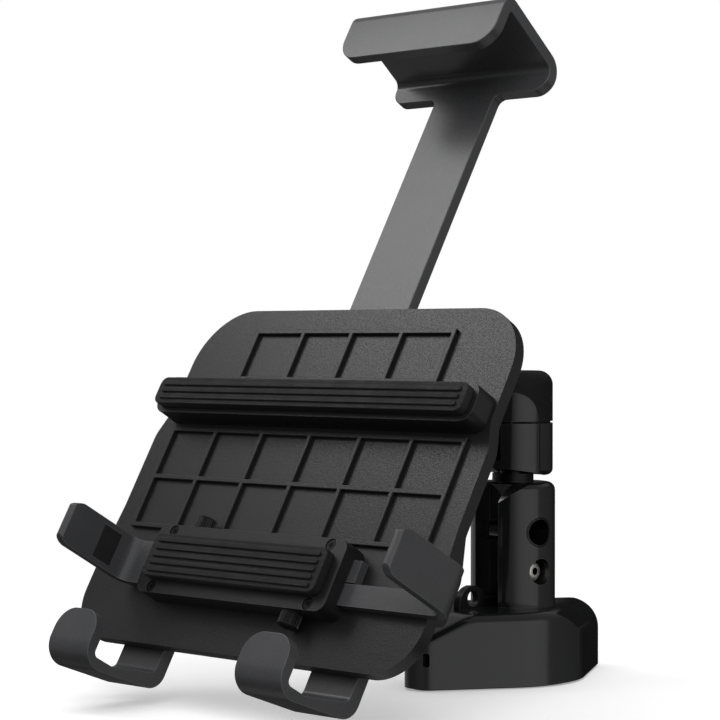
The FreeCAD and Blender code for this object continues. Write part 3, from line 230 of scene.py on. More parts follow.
def metalFinish(name, look):
    # metal: stained in soft patches, scratched by handling, bright along its edges, partly from wear and
    # partly as a painted highlight; turned parts carry tool rings
    material, tree, place = startMaterial(name)
    patch = addNode(tree, "ShaderNodeTexNoise", {"Scale": perMetre(look["patchMm"]), "Detail": 4.0},
                    {"Vector": place})
    drawn = addNode(tree, "ShaderNodeMapping", {"Rotation": (0.5, 0.3, 0.7), "Scale": (1.0, 9.0, 9.0)},
                    {"Vector": place})
    scratch = addNode(tree, "ShaderNodeTexNoise", {"Scale": perMetre(look["scratchMm"]), "Detail": 2.0},
                      {"Vector": drawn.outputs["Vector"]})
    tint = addNode(tree, "ShaderNodeMix", {"data_type": "RGBA", "A": hexToLinear(look["dark"]),
                                           "B": hexToLinear(look["light"])}, {"Factor": patch.outputs["Fac"]})
    # lighter along the edges: partly wear, partly a painted highlight
    edged = addNode(tree, "ShaderNodeMix", {"data_type": "RGBA", "B": hexToLinear(look["edge"])},
                    {"Factor": edgeWearAndHighlightMask(tree, look["edgeMm"], look["edgeWearAndHighlight"]), "A": tint.outputs["Result"]})
    gloss = addNode(tree, "ShaderNodeMapRange",
                    {"From Min": 0.35, "From Max": 0.65, "To Min": look["smooth"], "To Max": look["dull"]},
                    {"Value": scratch.outputs["Fac"]})
    marks = addNode(tree, "ShaderNodeBump", {"Strength": look["scratchDepth"], "Distance": hairBump},
                    {"Height": scratch.outputs["Fac"]})
    if "ringCentre" in look:
        centre = [-part * mm for part in look["ringCentre"]]
        moved = addNode(tree, "ShaderNodeMapping", {"Location": centre}, {"Vector": place})
        faced = addNode(tree, "ShaderNodeMapping", {"Rotation": look["ringTurn"]},
                        {"Vector": moved.outputs["Vector"]})
        # lathe rings, drawn coarser than the real 0.1 mm feed so that they show
        rings = addNode(tree, "ShaderNodeTexWave",
                        {"wave_type": "RINGS", "rings_direction": "Z",
                         "Scale": perMetre(look["ringMm"]) / waveTurn, "Distortion": 0.3},
                        {"Vector": faced.outputs["Vector"]})
        marks = addNode(tree, "ShaderNodeBump", {"Strength": look["ringDepth"], "Distance": hairBump},
                        {"Height": rings.outputs["Fac"], "Normal": marks.outputs["Normal"]})
    shader = addNode(tree, "ShaderNodeBsdfPrincipled", {"Metallic": look["metallic"]},
                     {"Base Color": edged.outputs["Result"], "Roughness": gloss.outputs["Result"],
                      "Normal": marks.outputs["Normal"]})
    return endMaterial(material, tree, shader)


# polyester powder coat on the base and post: deep black, satin, very faint orange peel
powderCoatLook = {"dark": "#101011", "light": "#191a1b", "edge": "#48484a", "edgeMm": 0.5, "edgeWearAndHighlight": 0.6,
                  "cloudMm": 18, "peelMm": 1.9, "dustMm": 0.5, "peelDepth": 0.11, "dustDepth": 0.08,
                  "smooth": 0.11, "dull": 0.16, "ior": 1.5}
# wet paint on the cast head and arm: a little flatter, with the casting's softness under it
castingPaintLook = {"dark": "#101011", "light": "#1a1a1b", "edge": "#3c3c3e", "edgeMm": 0.4, "edgeWearAndHighlight": 0.4,
                    "cloudMm": 14, "peelMm": 2.5, "dustMm": 0.6, "peelDepth": 0.12, "dustDepth": 0.08,
                    "smooth": 0.11, "dull": 0.17, "ior": 1.5,
                    # the skin above and behind the head's arch: painted shade, from a lower specular level
                    "archCentre": (0, -13.5, 98.4), "archRadius": 11.9, "split": 98.3, "dullSkin": 0.55,
                    "gleam": 0.5, "paintedShadeGleam": 0.12}
# the bent hooks and clips have a greyer, softer satin coat than the stand
bentPlatePaintLook = {"dark": "#393a3b", "light": "#434345", "edge": "#68686a", "edgeMm": 0.5,
                      "edgeWearAndHighlight": 0.6, "cloudMm": 15, "peelMm": 1.6, "dustMm": 0.6, "peelDepth": 0.12,
                      "dustDepth": 0.16, "smooth": 0.26, "dull": 0.34, "ior": 1.5}
# ABS of the plate, guide, rest and lock housing, moulded with a spark grain: dull, even black
absLook = {"dark": "#131313", "light": "#191919", "edge": "#303031", "edgeMm": 0.5, "edgeWearAndHighlight": 0.4,
           "flowMm": 40, "grainMm": 0.6, "toothMm": 0.35, "grainDepth": 0.30, "toothDepth": 0.15,
           "smooth": 0.36, "dull": 0.50, "ior": 1.53, "milky": 0.0}
# natural nylon of the friction washers: waxy off-white that lets a little light in
nylonLook = {"dark": "#dad7cc", "light": "#e8e6dd", "edge": "#f0eee6", "edgeMm": 0.3, "edgeWearAndHighlight": 0.4,
             "flowMm": 12, "grainMm": 0.9, "toothMm": 0.4, "grainDepth": 0.08, "toothDepth": 0.10,
             "smooth": 0.34, "dull": 0.44, "ior": 1.53, "milky": 0.25}
# nitrile rubber of the pads and cushions, cut from ribbed sheet
nitrileLook = {"dark": "#101010", "light": "#191919", "dust": "#4a4946", "bloomMm": 9, "speckMm": 1.3,
               "speckle": 0.35, "ribTurn": holderLean, "ribAlong": "Z", "ribMm": 1.1, "ribDepth": 0.35,
               "speckDepth": 0.25, "smooth": 0.60, "dull": 0.78, "ior": 1.52}
# EPDM foot sheet: softer, greyer, dustier
footRubberLook = {"dark": "#141414", "light": "#222221", "dust": "#5a5853", "bloomMm": 14, "speckMm": 1.0,
                  "speckle": 0.5, "ribTurn": 0.0, "ribAlong": "Y", "ribMm": 1.6, "ribDepth": 0.25,
                  "speckDepth": 0.25, "smooth": 0.68, "dull": 0.85, "ior": 1.52}
# black oxide on screws, neck, bush and eye: oily blue-black, lighter at the edges, partly bare steel where
# rubbed and partly a painted highlight
blackOxideLook = {"dark": "#1c1c1e", "light": "#2a2a2c", "edge": "#77777a", "edgeMm": 0.25, "edgeWearAndHighlight": 0.5,
                  "patchMm": 4, "scratchMm": 1.5, "smooth": 0.28, "dull": 0.42, "scratchDepth": 0.12,
                  "metallic": 0.85}
# blackened cast iron of the weight: coarse sandy skin
castIronLook = {"dark": "#242426", "light": "#3c3b3a", "edge": "#6b6a68", "edgeMm": 0.6, "edgeWearAndHighlight": 0.5,
                "patchMm": 8, "scratchMm": 2.5, "smooth": 0.42, "dull": 0.62, "scratchDepth": 0.35,
                "metallic": 0.8}
# clear zinc plate on pins, bolts, nut and cam: bluish silver with a warm stain
zincLook = {"dark": "#a3a7ad", "light": "#bcb9ae", "edge": "#d6d7d8", "edgeMm": 0.3, "edgeWearAndHighlight": 0.5,
            "patchMm": 5, "scratchMm": 1.2, "smooth": 0.22, "dull": 0.36, "scratchDepth": 0.10,
            "metallic": 1.0}
# turned stainless of the security screw
stainlessLook = {"dark": "#d4d0ca", "light": "#ece9e4", "edge": "#efedea", "edgeMm": 0.25, "edgeWearAndHighlight": 0.5,
                 "patchMm": 3, "scratchMm": 0.9, "smooth": 0.26, "dull": 0.38, "scratchDepth": 0.08,
                 "metallic": 0.8, "ringCentre": (13.0, -2.0, 41.5), "ringTurn": (0, math.radians(90), 0),
                 "ringMm": 0.6, "ringDepth": 0.25}
# satin chrome of the key barrel, polished in circles
chromeLook = {"dark": "#cdced0", "light": "#e0e1e2", "edge": "#f2f2f3", "edgeMm": 0.25, "edgeWearAndHighlight": 0.4,
              "patchMm": 5, "scratchMm": 0.8, "smooth": 0.12, "dull": 0.20, "scratchDepth": 0.06,
              "metallic": 1.0, "ringCentre": (25.0, -120.8, 48.6), "ringTurn": (math.radians(120), 0, 0),
              "ringMm": 0.6, "ringDepth": 0.2}

finishes = {
    "base_paint": paintedFinish("polyesterPowderCoat", powderCoatLook),
    "post_paint": paintedFinish("powderCoatOnPost", powderCoatLook),
    "head_paint": paintedFinish("paintOnCastHead", castingPaintLook),
    "arm_paint": paintedFinish("paintOnCastArm", castingPaintLook),
    "clip_paint": paintedFinish("paintOnBentPlate", bentPlatePaintLook),
    "plate_plastic": mouldedFinish("sparkGrainedAbs", absLook),
    "pad_rubber": rubberFinish("nitrileRubber", nitrileLook),
    "foot_rubber": rubberFinish("epdmFootRubber", footRubberLook),
    "black_screw": metalFinish("blackOxideSteel", blackOxideLook),
    "ballast_steel": metalFinish("blackenedCastIron", castIronLook),
    "zinc_steel": metalFinish("zincPlatedSteel", zincLook),
    "bright_steel": metalFinish("turnedStainless", stainlessLook),
    "lock_chrome": metalFinish("satinChrome", chromeLook),
    "washer_nylon": mouldedFinish("naturalNylon", nylonLook),
}
print("finishes made:", len(finishes))

# piece tools

bodyOfNode = {}
for bodyName, members in frame["record"]["behaviour"]["bodies"].items():
    for member in members:
        bodyOfNode[member] = bodyName


def pieceFromBmesh(name, work):
    mesh = bpy.data.meshes.new(name)
    work.to_mesh(mesh)
    work.free()
    piece = bpy.data.objects.new(name, mesh)
    bpy.context.scene.collection.objects.link(piece)
    return piece


def finishPiece(piece, body, slot, nodes=(), easeMm=0.0):
    # common last steps: eased edges, shading, the finish that its slot names, and its body
    for polygon in piece.data.polygons:
        polygon.use_smooth = True
    if easeMm:
        ease = piece.modifiers.new("easedEdges", "BEVEL")
        ease.width = easeMm * mm
        ease.segments = 2
        ease.limit_method = "ANGLE"
        ease.angle_limit = math.radians(sharpDegrees)
        ease.harden_normals = True
    piece.data.materials.clear()
    piece.data.materials.append(finishes[slot])
    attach(piece, body)
    if nodes:
        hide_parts(*nodes)
    return piece


def markSharp(work):
    for edge in work.edges:
        edge.smooth = edge.calc_face_angle(0) < math.radians(sharpDegrees)


def vertsOf(geometry):
    return [item for item in geometry if isinstance(item, bmesh.types.BMVert)]


def closeUp(work):
    # joins what the operators left doubled and turns every face outwards
    bmesh.ops.remove_doubles(work, verts=work.verts, dist=0.002 * mm)
    bmesh.ops.recalc_face_normals(work, faces=work.faces)


def copyOfSolid(node):
    # a merged copy of the CAD solid with its flat faces made whole
    work = bmesh.new()
    work.from_mesh(frame["nodes"][node].data)
    bmesh.ops.remove_doubles(work, verts=work.verts, dist=0.0005 * mm)
    flat = math.radians(0.4)
    bmesh.ops.dissolve_limit(work, angle_limit=flat, verts=work.verts, edges=work.edges)
    return work


def roundOff(work, look):
    # rings are cut in near a round part's end, then drawn in to the profile of a rounded corner
    steps = look["steps"]
    for i in range(steps):
        down = look["corner"] * (1 - math.sin(math.radians(90 * i / steps)))
        cut = (look["end"] - look["side"] * down) * mm
        bmesh.ops.bisect_plane(work, geom=work.verts[:] + work.edges[:] + work.faces[:], dist=0.001 * mm,
                               plane_co=(0, 0, cut), plane_no=(0, 0, 1))
    corner = look["corner"] * mm
    for vert in work.verts:
        past = 1 - look["side"] * (look["end"] * mm - vert.co.z) / corner
        reach = vert.co.xy.length
        if past > 0:
            limit = look["radius"] * mm - corner * (1 - math.sqrt(max(0, 1 - past * past)))
            if reach > limit:
                vert.co.xy *= limit / reach


# the post's top and the head's foot have softer corners than their solids; side 1 is an upper end
softEnds = {"post": {"radius": 16.3, "end": 75.4, "side": 1, "corner": 3.2, "steps": 6},
            "head_lower": {"radius": 15.4, "end": 78.1, "side": -1, "corner": 2.4, "steps": 5}}
# the rims where the head's halves meet are drawn apart a little, so that the joint reads as a dark line
openRims = {"head_upper": {"low": 98.25, "high": 98.95, "beyond": 14.0, "drawn": 0.3},
            "head_lower": {"low": 98.2, "high": 98.35, "beyond": 14.0, "drawn": -0.2}}


def dressedSolid(node, name, slot, easeMm):
    work = copyOfSolid(node)
    if node in openRims:
        rim = openRims[node]
        for vert in work.verts:
            inRim = rim["low"] * mm < vert.co.z < rim["high"] * mm
            if inRim and vert.co.xy.length > rim["beyond"] * mm:
                vert.co.z += rim["drawn"] * mm
    if node in softEnds:
        roundOff(work, softEnds[node])
    markSharp(work)
    return finishPiece(pieceFromBmesh(name, work), bodyOfNode[node], slot, (node,), easeMm)


def block(work, low, high, cornerMm=0.0):
    # a box between two corners, in mm, whose edges from front to back may be rounded
    verts = bmesh.ops.create_cube(work, size=1.0)["verts"]
    low, high = Vector(low) * mm, Vector(high) * mm
    bmesh.ops.scale(work, vec=high - low, verts=verts)
    bmesh.ops.translate(work, vec=(low + high) / 2, verts=verts)
    if cornerMm:
        corners = []
        for edge in {edge for vert in verts for edge in vert.link_edges}:
            along = edge.verts[0].co - edge.verts[1].co
            if abs(along.y) > 0.99 * along.length:
                corners.append(edge)
        bmesh.ops.bevel(work, geom=corners, offset=cornerMm * mm, offset_type="OFFSET", segments=4,
                        profile=0.5, affect="EDGES", material=-1)


def spinOutline(work, outline, steps):
    # an outline of (radius, height) pairs in mm, turned once round the Z axis
    verts = [work.verts.new((radius * mm, 0, height * mm)) for radius, height in outline]
    edges = [work.edges.new(pair) for pair in zip(verts, verts[1:])]
    bmesh.ops.spin(work, geom=verts + edges, cent=(0, 0, 0), axis=(0, 0, 1), angle=math.radians(360),
                   steps=steps, use_merge=True)
    bmesh.ops.remove_doubles(work, verts=work.verts, dist=0.002 * mm)


def putTurned(work, part, frameMatrix, placeMm, toward):
    # adds a part made along +Z: its zero at a place and its +Z toward a direction, both in a given frame
    turn = Vector(toward).to_track_quat("Z", "Y").to_matrix().to_4x4()
    shift = Matrix.Translation(Vector(placeMm) * mm)
    bmesh.ops.transform(part, matrix=frameMatrix @ shift @ turn, verts=part.verts)
    carried = bpy.data.meshes.new("carried")
    part.to_mesh(carried)
    part.free()
    work.from_mesh(carried)
    bpy.data.meshes.remove(carried)


# screws

# what a screw is unless its own settings say otherwise: the crown is (share of the head's radius, height)
# pairs; plain and point are mm without thread, tip and socketDeep shares of the shank and of the head
screwShape = {"crown": [(0.62, 0.0), (0.90, 0.0), (1.0, -0.35)], "pitch": 0.7, "threadDeep": 0.38,
              "plain": 0.6, "point": 0.5, "tip": 0.75, "socketDeep": 0.55, "sides": 24, "knurl": 0.0,
              "pin": None}


def capScrew(own):
    # along Z, head up with its top at 0: crown, knurled rim, hexagon socket, rolled thread
    look = {**screwShape, **own}
    part = bmesh.new()
    outline = [(share * look["head"], height) for share, height in look["crown"]]
    outline += [(look["head"], -look["tall"]), (look["shank"], -look["tall"])]
    top, pitch, end = -look["tall"] - look["plain"], look["pitch"], -look["length"] + look["point"]
    while top - pitch > end:
        outline += [(look["shank"], top), (look["shank"] - look["threadDeep"] * pitch, top - pitch / 2)]
        top -= pitch
    outline += [(look["shank"], top), (look["tip"] * look["shank"], -look["length"]), (0, -look["length"])]
    spinOutline(part, outline, look["sides"])
    rimEdges = [edge for edge in part.edges if edge.is_boundary]
    hexagon = bmesh.ops.create_circle(part, segments=6, radius=look["socket"] * mm)["verts"]
    bmesh.ops.translate(part, vec=(0, 0, look["crown"][0][1] * mm), verts=hexagon)
    hexEdges = list({edge for vert in hexagon for edge in vert.link_edges})
    bmesh.ops.subdivide_edges(part, edges=hexEdges, cuts=3)
    hexEdges = [edge for edge in part.edges if not edge.link_faces]
    bmesh.ops.bridge_loops(part, edges=rimEdges + hexEdges)
    mouth = [edge for edge in part.edges if edge.is_boundary]
    wall = bmesh.ops.extrude_edge_only(part, edges=mouth)["geom"]
    bmesh.ops.translate(part, vec=(0, 0, -look["socketDeep"] * look["tall"] * mm), verts=vertsOf(wall))
    bmesh.ops.edgeloop_fill(part, edges=[edge for edge in part.edges if edge.is_boundary])
    closeUp(part)
    if look["knurl"]:
        rim = 0.9 * look["head"] * mm
        sides = [face for face in part.faces
                 if abs(face.normal.z) < 0.1 and face.calc_center_median().xy.length > rim]
        depth = look["knurl"] * mm
        bmesh.ops.inset_individual(part, faces=sides, thickness=depth, depth=-depth)
    if look["pin"]:
        # the guard pin that stands in a security screw's socket: radius and height of its top
        pin = bmesh.new()
        radius, high = look["pin"]
        foot = -0.6 * look["tall"]
        spinOutline(pin, [(0, high), (0.75 * radius, high), (radius, high - 0.2), (radius, foot),
                          (0, foot)], 16)
        closeUp(pin)
        putTurned(part, pin, standFrame, (0, 0, 0), (0, 0, 1))
    return part


# places are of the middle of the head's top, in mm, and toward is out of the head
screwSets = {
    "post_bolts": {
        "piece": "postBolts", "frame": standFrame, "toward": (0, 0, -1), "head": 4.45, "tall": 5.0,
        "shank": 2.45, "length": 33.4, "socket": 2.3, "knurl": 0.15, "pitch": 1.0,
        "places": [(-8.5, 6.5, 3.5), (8.5, 6.5, 3.5)]},
    "head_screws": {
        "piece": "headScrews", "frame": standFrame, "toward": (0, 0, -1), "head": 3.05, "tall": 3.0,
        "shank": 1.88, "length": 24.0, "socket": 1.6, "knurl": 0.12,
        "places": [(-8.7, 6.2, 81.8), (8.7, 6.2, 81.8)]},
    "bracket_screws": {
        "piece": "bracketScrews", "frame": holderFrame, "toward": (0, 1, 0), "head": 3.65, "tall": 3.6,
        "shank": 1.98, "length": 12.1, "socket": 1.7, "knurl": 0.12,
        "places": [(-22, 34.6, 78), (22, 34.6, 78), (-22, 34.6, 102), (22, 34.6, 102)]},
    "hook_screws": {
        "piece": "hookScrews", "frame": holderFrame, "toward": (0, 1, 0), "head": 3.65, "tall": 2.4,
        "shank": 1.98, "length": 8.8, "socket": 1.7,
        "crown": [(0.60, 0.0), (0.72, -0.05), (0.90, -0.40), (1.0, -0.95)],
        "places": [(-48.7, 31.3, 24), (48.7, 31.3, 24), (-48.7, 31.3, 45), (48.7, 31.3, 45)]},
    "guide_screws": {
        "piece": "guideScrews", "frame": holderFrame, "toward": (0, -1, 0), "head": 2.15, "tall": 2.2,
        "shank": 1.78, "length": 11.2, "socket": 1.2,
        "places": [(-40, 11.8, 31.4), (40, 11.8, 31.4), (-40, 11.8, 53.1), (40, 11.8, 53.1)]},
    "rest_screws": {
        "piece": "restScrews", "frame": holderFrame, "toward": (0, 1, 0), "head": 3.15, "tall": 2.2,
        "shank": 1.78, "length": 14.2, "socket": 1.5,
        "crown": [(0.60, 0.0), (0.72, -0.05), (0.90, -0.35), (1.0, -0.85)],
        "places": [(-60, 26.3, 108.5), (60, 26.3, 108.5)]},
    "housing_screws": {
        "piece": "housingScrews", "frame": holderFrame, "toward": (0, 1, 0), "head": 2.75, "tall": 2.3,
        "shank": 1.78, "length": 12.8, "socket": 1.5, "knurl": 0.1,
        "places": [(-19.6, 35.3, 35), (32, 35.3, 35), (-19.6, 35.3, 63), (32, 35.3, 63)]},
    "clamp_screw_right": {
        "piece": "clampScrewRight", "frame": holderFrame, "toward": (0, 0, -1), "head": 3.75, "tall": 5.0,
        "shank": 1.78, "length": 9.7, "socket": 1.5, "knurl": 0.2, "places": [(30, 16.0, 24.0)]},
    "clamp_screw_left": {
        "piece": "clampScrewLeft", "frame": holderFrame, "toward": (0, 0, 1), "head": 3.75, "tall": 5.0,
        "shank": 1.78, "length": 9.7, "socket": 1.5, "knurl": 0.2, "places": [(-30, 16.0, 60.5)]},
    "lock_screw": {
        "piece": "securityScrew", "frame": standFrame, "toward": (1, 0, 0), "head": 4.15, "tall": 3.6,
        "shank": 2.45, "length": 23.5, "socket": 1.6, "pin": (0.95, -0.1), "pitch": 0.9,
        "crown": [(0.50, 0.0), (0.62, -0.06), (0.84, -0.50), (0.95, -1.0), (1.0, -1.5)],
        "places": [(13.0, -2.0, 41.5)]},
}
screwSlots = {"post_bolts": "zinc_steel", "lock_screw": "bright_steel"}
for node, look in screwSets.items():
    work = bmesh.new()
    for place in look["places"]:
        putTurned(work, capScrew(look), look["frame"], place, look["toward"])
    markSharp(work)
    slot = screwSlots.get(node, "black_screw")
    finishPiece(pieceFromBmesh(look["piece"], work), bodyOfNode[node], slot, (node,))
print("screws made:", sum(len(look["places"]) for look in screwSets.values()))

# cushions: a slab with long rounded ribs where the load rests

cushionLooks = {
    "lower_cushion": {
        "piece": "lowerCushion", "half": 44.0, "low": 34.0, "high": 50.5, "front": 7.2, "back": 11.5,
        "corner": 3.0, "ribs": 5, "ribWide": 1.9, "ribTall": 0.7, "ribSunk": 0.4, "margin": 1.6,
        "inset": 2.6},
    "upper_cushion": {
        "piece": "upperCushion", "half": 78.0, "low": 103.0, "high": 114.0, "front": 7.2, "back": 11.5,
        "corner": 3.0, "ribs": 3, "ribWide": 1.9, "ribTall": 0.7, "ribSunk": 0.4, "margin": 1.8,
        "inset": 2.6},
}
for node, look in cushionLooks.items():
    work = bmesh.new()
    slabFront = look["front"] + look["ribTall"]
    block(work, (-look["half"], slabFront, look["low"]), (look["half"], look["back"], look["high"]),
          look["corner"])
    run = look["high"] - look["low"] - 2 * look["margin"] - look["ribWide"]
    reach = look["half"] - look["inset"]
    for i in range(look["ribs"]):
        low = look["low"] + look["margin"] + run * i / (look["ribs"] - 1)
        block(work, (-reach, look["front"], low), (reach, slabFront + look["ribSunk"], low + look["ribWide"]),
              0.48 * look["ribWide"])  # nearly half its width, so the rib's ends come out round
    bmesh.ops.transform(work, matrix=holderFrame, verts=work.verts)
    markSharp(work)
    finishPiece(pieceFromBmesh(look["piece"], work), bodyOfNode[node], "pad_rubber", (node,), 0.3)
print("cushions ribbed:", len(cushionLooks))

# foot pad: a sealing groove follows its edge and rings each bolt hole

footLook = {"land": 1.6, "slope": 0.35, "floor": 1.0, "deep": 0.55}
work = copyOfSolid("foot_pad")
under = [face for face in work.faces if face.normal.z < -0.99]
grooveSteps = [(footLook["land"], 0), (footLook["slope"], -footLook["deep"]), (footLook["floor"], 0),
               (footLook["slope"], footLook["deep"])]
for inward, rise in grooveSteps:
    bmesh.ops.inset_region(work, faces=under, thickness=inward * mm, depth=rise * mm, use_boundary=True,
                           use_even_offset=True)
markSharp(work)
finishPiece(pieceFromBmesh("footPad", work), "base", "foot_rubber", ("foot_pad",), 0.15)
print("foot pad grooved")

# the frame's other solids, dressed: piece name, slot, eased edge in mm

dressedParts = {
    "base_shell": ("baseCasting", "base_paint", 0.35),
    "base_ballast": ("baseWeight", "ballast_steel", 0.4),
    "lock_plate": ("slotPlate", "zinc_steel", 0.2),
    "post": ("post", "post_paint", 0.3),
    "cable_bush": ("cableBush", "black_screw", 0.25),
    "cable_eye": ("cableEye", "black_screw", 0.35),
    "neck": ("neck", "black_screw", 0.25),
    "neck_pin": ("neckPin", "zinc_steel", 0.15),
    "stop_pin": ("stopPin", "zinc_steel", 0.1),
    "swivel_washer": ("swivelWasher", "zinc_steel", 0.1),
    "swivel_nut": ("swivelNut", "zinc_steel", 0.15),
    "head_lower": ("headLower", "head_paint", 0.12),
    "head_upper": ("headUpper", "head_paint", 0.12),
    "head_shim": ("headGasket", "pad_rubber", 0.0),
    "tilt_pin": ("tiltPin", "zinc_steel", 0.2),
    "tilt_washer_left": ("tiltWasherLeft", "washer_nylon", 0.1),
    "tilt_washer_right": ("tiltWasherRight", "washer_nylon", 0.1),
    "arm": ("tiltArm", "arm_paint", 0.35),
    "back_plate": ("backPlate", "plate_plastic", 0.35),
    "hook_left": ("hookLeft", "clip_paint", 0.35),
    "hook_right": ("hookRight", "clip_paint", 0.35),
    "hook_pad_left": ("hookPadLeft", "pad_rubber", 0.25),
    "hook_pad_right": ("hookPadRight", "pad_rubber", 0.25),
    "arm_guide": ("armGuide", "plate_plastic", 0.4),
    "upper_rest": ("upperRest", "plate_plastic", 0.4),
    "lock_housing": ("lockHousing", "plate_plastic", 0.3),
    "lock_barrel": ("lockBarrel", "lock_chrome", 0.2),
    "lock_cam": ("lockCam", "zinc_steel", 0.2),
    "top_arm": ("topArm", "clip_paint", 0.35),
    "top_pad": ("topPad", "pad_rubber", 0.25),
    "left_arm": ("leftArm", "clip_paint", 0.35),
    "left_pad": ("leftPad", "pad_rubber", 0.25),
    "right_arm": ("rightArm", "clip_paint", 0.35),
    "right_pad": ("rightPad", "pad_rubber", 0.25),
}
for node, (name, slot, easeMm) in dressedParts.items():
    dressedSolid(node, name, slot, easeMm)
print("dressed solids:", len(dressedParts))

# stiffening ribs moulded on the plate's front, clear of the side arms' path and the hooks

plateRibLook = {"front": 18.9, "root": 20.7, "thick": 1.8, "lower": 0.02,
                "upright": [(across, 58.0, 99.0) for across in (-74, -50, -25, 0, 25, 50, 74)]
                + [(across, 119.0, 141.0) for across in (-50, -25, 0, 25, 50)],
                "across": [(-74, 74, 58.0), (-74, 74, 78.0), (-74, 74, 98.0), (-50, 50, 120.0),
                           (-50, 50, 140.0)]}
work = bmesh.new()
half = plateRibLook["thick"] / 2
for across, low, high in plateRibLook["upright"]:
    block(work, (across - half, plateRibLook["front"], low), (across + half, plateRibLook["root"], high))
crossFront = plateRibLook["front"] + plateRibLook["lower"]  # so that no two faces lie in one plane
for left, right, up in plateRibLook["across"]:
    block(work, (left - half, crossFront, up - half), (right + half, plateRibLook["root"], up + half))
bmesh.ops.transform(work, matrix=holderFrame, verts=work.verts)
markSharp(work)
finishPiece(pieceFromBmesh("plateRibs", work), "holder", "plate_plastic", (), 0.3)

# raised beads across the plate's back, and the marks that the mould's ejector pins left

backBeadLook = {"deep": 26.4, "out": 27.1, "wide": 1.2, "round": 0.45,
                "runs": [(-70, 70, 132), (-74, -40, 122), (40, 74, 122)],
                "ejectors": [(-66, 86), (66, 86), (-44, 138), (44, 138), (-66, 26), (66, 26), (0, 140)],
                "face": 26.5, "radius": 2.6, "lip": 0.3, "slope": 0.05, "middle": 0.03, "top": 0.14,
                "sunk": -0.2}
work = bmesh.new()
half = backBeadLook["wide"] / 2
for left, right, up in backBeadLook["runs"]:
    block(work, (left, backBeadLook["deep"], up - half), (right, backBeadLook["out"], up + half),
          backBeadLook["round"])
bmesh.ops.transform(work, matrix=holderFrame, verts=work.verts)
radius, sunk = backBeadLook["radius"], backBeadLook["sunk"]
middle, top = backBeadLook["middle"], backBeadLook["top"]
lipStart = radius - backBeadLook["lip"]
for across, up in backBeadLook["ejectors"]:
    mark = bmesh.new()
    spinOutline(mark, [(0, middle), (lipStart - backBeadLook["slope"], middle), (lipStart, top),
                       (radius, top), (radius, sunk), (0, sunk)], 28)
    closeUp(mark)
    putTurned(work, mark, holderFrame, (across, backBeadLook["face"], up), (0, 1, 0))
markSharp(work)
finishPiece(pieceFromBmesh("plateBackMarks", work), "holder", "plate_plastic", (), 0.15)

# soft lips on both sides of the tilt knuckle close the head's joint where the gasket ends

lipLook = {"inner": 12.7, "outer": 14.2, "low": 98.32, "high": 98.58, "rearEdge": 3.4, "slotEdge": 6.4,
           "steps": 16}
work = bmesh.new()
corners = [work.verts.new((radius * mm, 0, height * mm)) for radius, height in
           [(lipLook["inner"], lipLook["low"]), (lipLook["outer"], lipLook["low"]),
            (lipLook["outer"], lipLook["high"]), (lipLook["inner"], lipLook["high"])]]
profile = work.faces.new(corners)
begins = math.asin(lipLook["rearEdge"] / lipLook["inner"])
ends = math.acos(lipLook["slotEdge"] / lipLook["inner"])
bmesh.ops.rotate(work, verts=corners, cent=(0, 0, 0), matrix=Matrix.Rotation(begins, 3, "Z"))
bmesh.ops.spin(work, geom=corners + list(profile.edges) + [profile], cent=(0, 0, 0), axis=(0, 0, 1),
               angle=-begins - ends, steps=lipLook["steps"])
twin = bmesh.ops.duplicate(work, geom=work.verts[:] + work.edges[:] + work.faces[:])["geom"]
bmesh.ops.scale(work, vec=(-1, 1, 1), verts=vertsOf(twin))
closeUp(work)
markSharp(work)
finishPiece(pieceFromBmesh("headJointLips", work), "head", "pad_rubber")
print("ribs, back marks and joint lips made")

# bezel pressed round the key barrel, and the sprung shutter in its key way

lockLook = {"across": 25.0, "up": 50.0, "face": 35.5, "inner": 6.6, "outer": 7.9, "tall": 0.7, "sunk": -0.3,
            "innerOut": 0.2, "innerDown": 0.15, "outerSlope": 0.45,
            "shutterHalf": 0.5, "shutterLong": 5.9, "shutterBack": 34.0, "shutterFront": 35.3}
across, up, tall, sunk = (lockLook[key] for key in ("across", "up", "tall", "sunk"))
inner, outer, slope = (lockLook[key] for key in ("inner", "outer", "outerSlope"))
work = bmesh.new()
bezel = bmesh.new()
spinOutline(bezel, [(inner, sunk), (inner, tall - lockLook["innerDown"]),
                    (inner + lockLook["innerOut"], tall), (outer - slope, tall), (outer, tall - slope),
                    (outer, sunk), (inner, sunk)], 56)
closeUp(bezel)
putTurned(work, bezel, holderFrame, (across, lockLook["face"], up), (0, 1, 0))
markSharp(work)
finishPiece(pieceFromBmesh("lockBezel", work), "holder", "lock_chrome")
work = bmesh.new()
halfWide, halfLong = lockLook["shutterHalf"], lockLook["shutterLong"] / 2
block(work, (across - halfWide, lockLook["shutterBack"], up - halfLong),
      (across + halfWide, lockLook["shutterFront"], up + halfLong))
bmesh.ops.transform(work, matrix=holderFrame, verts=work.verts)
markSharp(work)
finishPiece(pieceFromBmesh("keyShutter", work), "lock", "black_screw", (), 0.1)
print("lock bezel and key shutter made")

# camera

cameraSetup = {"place": (0.6022, -0.6886, 0.1293), "downDegrees": 0.438, "turnDegrees": 44.88,
               "lensMm": 117.935, "sensorMm": 36, "nearest": 0.01}
camera = bpy.data.objects.new("photoCamera", bpy.data.cameras.new("photoCamera"))
bpy.context.scene.collection.objects.link(camera)
camera.location = cameraSetup["place"]
camera.rotation_euler = (math.radians(90 - cameraSetup["downDegrees"]), 0,
                         math.radians(cameraSetup["turnDegrees"]))
camera.data.lens = cameraSetup["lensMm"]
camera.data.sensor_width = cameraSetup["sensorMm"]
camera.data.clip_start = cameraSetup["nearest"]
bpy.context.scene.camera = camera

# floor: pale, with the stand's shadow near it, and fading to plain white further off

